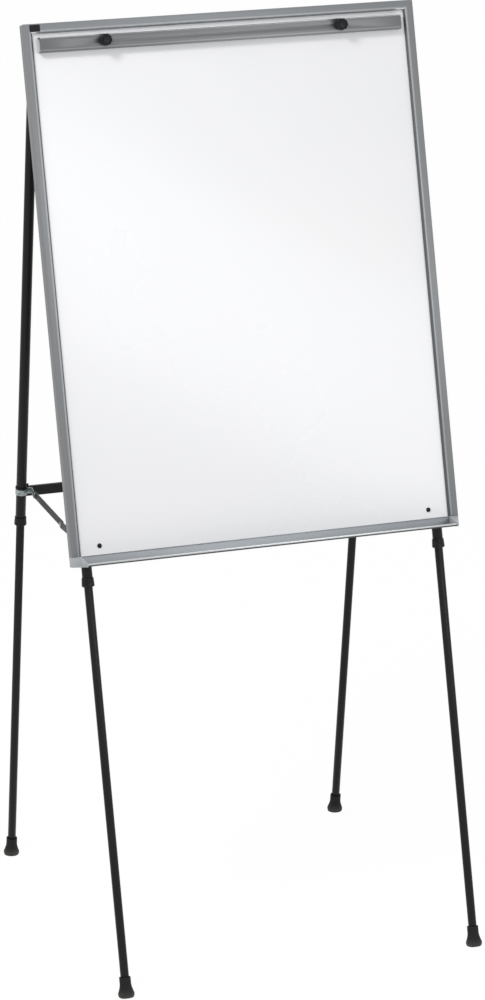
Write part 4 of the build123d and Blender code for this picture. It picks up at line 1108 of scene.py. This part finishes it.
def collar_moulding():
    """Fluted twist collar on the Z axis, foot at z = 0."""
    low, high = upright_box("front_twist_collar_left", BOARD_LEAN)
    tube_low, tube_high = upright_box("front_upper_tube_left", BOARD_LEAN)
    leg_low, leg_high = upright_box("front_lower_tube_left", BOARD_LEAN)
    height = high.z - low.z
    foot = COLLAR_FOOT_RADIUS
    top = COLLAR_TOP_RADIUS
    tube_room = (tube_high.x - tube_low.x) / 2 + COLLAR_ROOM
    leg_room = (leg_high.x - leg_low.x) / 2 + 2 * COLLAR_ROOM
    taper = (foot - top) / (height - COLLAR_BEVEL)
    profile = [
        (tube_room, height),
        (top, height),
        (top + taper * COLLAR_RING, height - COLLAR_RING),
        (foot - taper * COLLAR_RING, COLLAR_BEVEL + COLLAR_RING),
        (foot, COLLAR_BEVEL),
        (foot - COLLAR_BEVEL, 0),
        (leg_room, 0),
        (leg_room, COLLAR_LIP),
        (tube_room, COLLAR_LIP),
    ]
    collar = turned("collar_pattern", profile, COLLAR_SIDES)
    open_mesh(collar)
    turn = 2 * pi / COLLAR_SIDES

    def in_flute(at, out):
        column = int((atan2(at.x, at.y) + 2 * pi) / turn)
        outside = at.xy.length > tube_room + COLLAR_SKIN
        between = COLLAR_BEVEL + COLLAR_RING < at.z < height - COLLAR_RING
        return outside and between and column % COLLAR_FLUTE_EVERY == 0

    pick("FACE", in_flute)
    bpy.ops.mesh.inset(thickness=COLLAR_FLUTE_EDGE, depth=-COLLAR_FLUTE_DEPTH)
    close_mesh()
    soften(collar, FINE_ROUND, angle=50)
    return collar


def foot_moulding():
    """Rubber foot on the Z axis, its ground point at z = 0, sole not yet worn flat."""
    flare_top = FOOT_HEIGHT - FOOT_NECK_LENGTH
    flare = flare_top - FOOT_RIM
    spread = FOOT_RADIUS - FOOT_NECK_RADIUS
    slope = FOOT_FLARE * flare / spread
    profile = [
        (FOOT_TUBE_RADIUS, FOOT_SOCKET_FLOOR),
        (FOOT_TUBE_RADIUS, FOOT_HEIGHT),
        (FOOT_NECK_RADIUS, FOOT_HEIGHT),
        (FOOT_NECK_RADIUS, flare_top),
    ]
    for step in range(1, FOOT_STEPS + 1):
        share = step / FOOT_STEPS
        out = (3 - slope) * share**2 + (slope - 2) * share**3
        profile.append((FOOT_NECK_RADIUS + spread * out, flare_top - flare * share))
    for step in range(1, FOOT_STEPS + 1):
        angle = pi / 2 * step / FOOT_STEPS
        radius = FOOT_SOLE_RADIUS + (FOOT_RADIUS - FOOT_SOLE_RADIUS) * cos(angle)
        profile.append((radius, FOOT_RIM - (FOOT_RIM + FOOT_WEAR) * sin(angle)))
    profile.append((FOOT_AXIS_HOLE, -FOOT_WEAR))
    profile.append((FOOT_AXIS_HOLE, FOOT_SOCKET_FLOOR))
    foot = turned("foot_pattern", profile, FOOT_SIDES)
    open_mesh(foot)
    pick("VERT", lambda at, out: at.xy.length < 2 * FOOT_AXIS_HOLE)
    bpy.ops.mesh.delete(type="VERT")
    socket = (FOOT_TUBE_RADIUS + HAIR, FOOT_SOCKET_FLOOR + HAIR)
    pick_edges(lambda at, along: at.xy.length < socket[0] and at.z < socket[1])
    bpy.ops.mesh.edge_face_add()
    pick_edges(lambda at, along: at.z < HAIR - FOOT_WEAR)
    bpy.ops.mesh.edge_face_add()
    weld()
    close_mesh()
    soften(foot, FOOT_ROUND, segments=3, angle=50)
    return foot


collar_pattern = collar_moulding()
foot_pattern = foot_moulding()
for leg, lean in (("front", BOARD_LEAN), ("rear", REAR_LEAN)):
    for side, hand in SIDES:
        pipe(f"{leg}_upper_pipe_{hand}", f"{leg}_upper_tube_{hand}", lean, UPPER_WALL)
        pipe(f"{leg}_lower_pipe_{hand}", f"{leg}_lower_tube_{hand}", lean, LOWER_WALL)
        low, high = upright_box(f"{leg}_twist_collar_{hand}", lean)
        axis = (low + high) / 2
        collar = copied(collar_pattern, f"{leg}_collar_{hand}_moulding")
        collar.location = (axis.x, axis.y, low.z)
        leaned(fixed(collar), lean)
        fit(collar, f"{leg}_twist_collar_{hand}")
        top = upright_box(f"{leg}_foot_{hand}", lean)[1].z
        foot = copied(foot_pattern, f"{leg}_foot_{hand}_moulding")
        foot.location = (axis.x, axis.y, top - FOOT_HEIGHT)
        leaned(fixed(foot), lean)
        open_mesh(foot)
        trim(Vector(), -Z)
        close_mesh()
        smooth(foot)
        fit(foot, f"{leg}_foot_{hand}")
bpy.data.objects.remove(collar_pattern)
bpy.data.objects.remove(foot_pattern)


# Steel fittings

def brace_bar(name, node, start, end):
    """Flat bar with round ends between two pivots, in its node's place."""
    low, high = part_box(node)
    reach = end - start
    bpy.ops.object.select_all(action="DESELECT")
    bpy.ops.mesh.primitive_circle_add(
        vertices=LINK_SIDES, radius=LINK_WIDTH / 2, fill_type="NGON",
        rotation=(0, 0, pi / LINK_SIDES),
    )
    bar = added(name)
    open_mesh(bar)
    pick("VERT", lambda at, out: at.x > 0)
    move(reach.length, 0, 0)
    bpy.ops.mesh.select_all(action="SELECT")
    pull(0, 0, high.x - low.x)
    weld()
    close_mesh()
    soften(bar, PRESSED_ROUND)
    along = reach.normalized()
    turn = Matrix((along, X.cross(along), X)).transposed().to_4x4()
    bar.matrix_world = Matrix.Translation((low.x, start.y, start.z)) @ turn
    fixed(bar)
    fit(bar, node, BRACE_STEEL)


for side, hand in SIDES:
    rear_pivot = Vector(JOINTS[f"rear_brace_{hand}_turn"]["pos_m"])
    front_pivot = Vector(JOINTS[f"front_brace_{hand}_turn"]["pos_m"])
    low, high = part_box(f"elbow_rivet_inner_{hand}")
    elbow = (low + high) / 2
    rear_pivot.x = front_pivot.x = elbow.x
    brace_bar(f"rear_brace_bar_{hand}", f"rear_link_{hand}", rear_pivot, elbow)
    brace_bar(f"front_brace_bar_{hand}", f"front_link_{hand}", front_pivot, elbow)
    for node, name in (
        (f"hinge_bracket_{hand}", f"hinge_bracket_{hand}_pressing"),
        (f"lower_bracket_{hand}", f"lower_bracket_{hand}_pressing"),
        (f"brace_clamp_{hand}", f"brace_clamp_{hand}_band"),
    ):
        fit(dressed(node, name, PRESSED_ROUND), node)
fit(dressed("cross_bar", "cross_bar_pressing", PRESSED_ROUND), "cross_bar")

# The hidden and small parts keep the solid model's shape and get their finish
for name, node in frame["nodes"].items():
    if not node.hide_render:
        node.data.materials.clear()
        for finish in FINISHES[SLOT_OF[name]]:
            node.data.materials.append(finish)


# Floor, light and camera

def any_ray(tree, *kinds):
    """Gives 1 for a ray of any of these kinds."""
    rays = node_in(tree, "ShaderNodeLightPath")
    seen = rays.outputs[kinds[0]]
    for kind in kinds[1:]:
        seen = node_in(
            tree, "ShaderNodeMath", operation="MAXIMUM", inputs={0: seen, 1: rays.outputs[kind]}
        ).outputs[0]
    return seen


def floor():
    """Wide white floor: it keeps the easel's shadow, and the camera sees the rest as white."""
    bpy.ops.object.select_all(action="DESELECT")
    bpy.ops.mesh.primitive_plane_add(size=FLOOR_SIZE)
    plane = added("studio_floor")
    material = bpy.data.materials.new("studio floor")
    material.use_nodes = True
    tree = material.node_tree
    output = tree.nodes["Material Output"]
    tree.nodes.remove(tree.nodes["Principled BSDF"])
    matt = node_in(tree, "ShaderNodeBsdfDiffuse", inputs={"Color": grey(FLOOR_GREY)})
    white = node_in(tree, "ShaderNodeEmission", inputs={"Color": WHITE, "Strength": FLOOR_GLOW})
    seen = any_ray(tree, "Is Camera Ray", "Is Glossy Ray")
    share = node_in(
        tree, "ShaderNodeMath", operation="MULTIPLY", inputs={0: seen, 1: FLOOR_SHARE}
    )
    mixed = node_in(
        tree, "ShaderNodeMixShader",
        inputs={0: share.outputs[0], 1: matt.outputs[0], 2: white.outputs[0]},
    )
    tree.links.new(mixed.outputs[0], output.inputs["Surface"])
    plane.data.materials.append(material)


def surroundings(light):
    """Even light from all round; camera and mirrored rays see plain white."""
    world = bpy.data.worlds.new("studio")
    bpy.context.scene.world = world
    world.use_nodes = True
    tree = world.node_tree
    dim = tree.nodes["Background"]
    dim.inputs["Color"].default_value = WHITE
    dim.inputs["Strength"].default_value = light
    white = node_in(tree, "ShaderNodeBackground", inputs={"Color": WHITE, "Strength": 1.0})
    seen = any_ray(tree, "Is Camera Ray", "Is Glossy Ray", "Is Transmission Ray")
    mixed = node_in(
        tree, "ShaderNodeMixShader", inputs={0: seen, 1: dim.outputs[0], 2: white.outputs[0]}
    )
    tree.links.new(mixed.outputs[0], tree.nodes["World Output"].inputs["Surface"])


def softbox(name, place, aim, width, height, power, roll):
    """Rectangular lamp that looks at a point, rolled about its line of sight."""
    lamp = bpy.data.lights.new(name, "AREA")
    lamp.shape = "RECTANGLE"
    lamp.size = width
    lamp.size_y = height
    lamp.energy = power
    holder = bpy.data.objects.new(name, lamp)
    bpy.context.collection.objects.link(holder)
    facing = (Vector(aim) - Vector(place)).to_track_quat("-Z", "Y").to_matrix().to_4x4()
    rolled = Matrix.Rotation(radians(roll), 4, "Z")
    holder.matrix_world = Matrix.Translation(place) @ facing @ rolled


def camera():
    """Camera at the photograph's viewing angle."""
    data = bpy.data.cameras.new("camera")
    data.sensor_fit = "AUTO"
    data.sensor_width = SENSOR
    data.lens = FOCAL_PIXELS / PHOTO_HEIGHT_PIXELS * SENSOR
    data.clip_start = CLIP_START
    data.clip_end = CLIP_END
    holder = bpy.data.objects.new("camera", data)
    bpy.context.collection.objects.link(holder)
    yaw = Matrix.Rotation(-radians(CAMERA_YAW), 4, "Z")
    pitch = Matrix.Rotation(pi / 2 - radians(CAMERA_PITCH), 4, "X")
    roll = Matrix.Rotation(radians(CAMERA_ROLL), 4, "Z")
    holder.matrix_world = Matrix.Translation(CAMERA_PLACE) @ yaw @ pitch @ roll
    bpy.context.scene.camera = holder


floor()
surroundings(SURROUNDING_LIGHT)
for name, lamp in LAMPS.items():
    softbox(name, *lamp)
camera()
bpy.context.scene.view_settings.view_transform = "Standard"
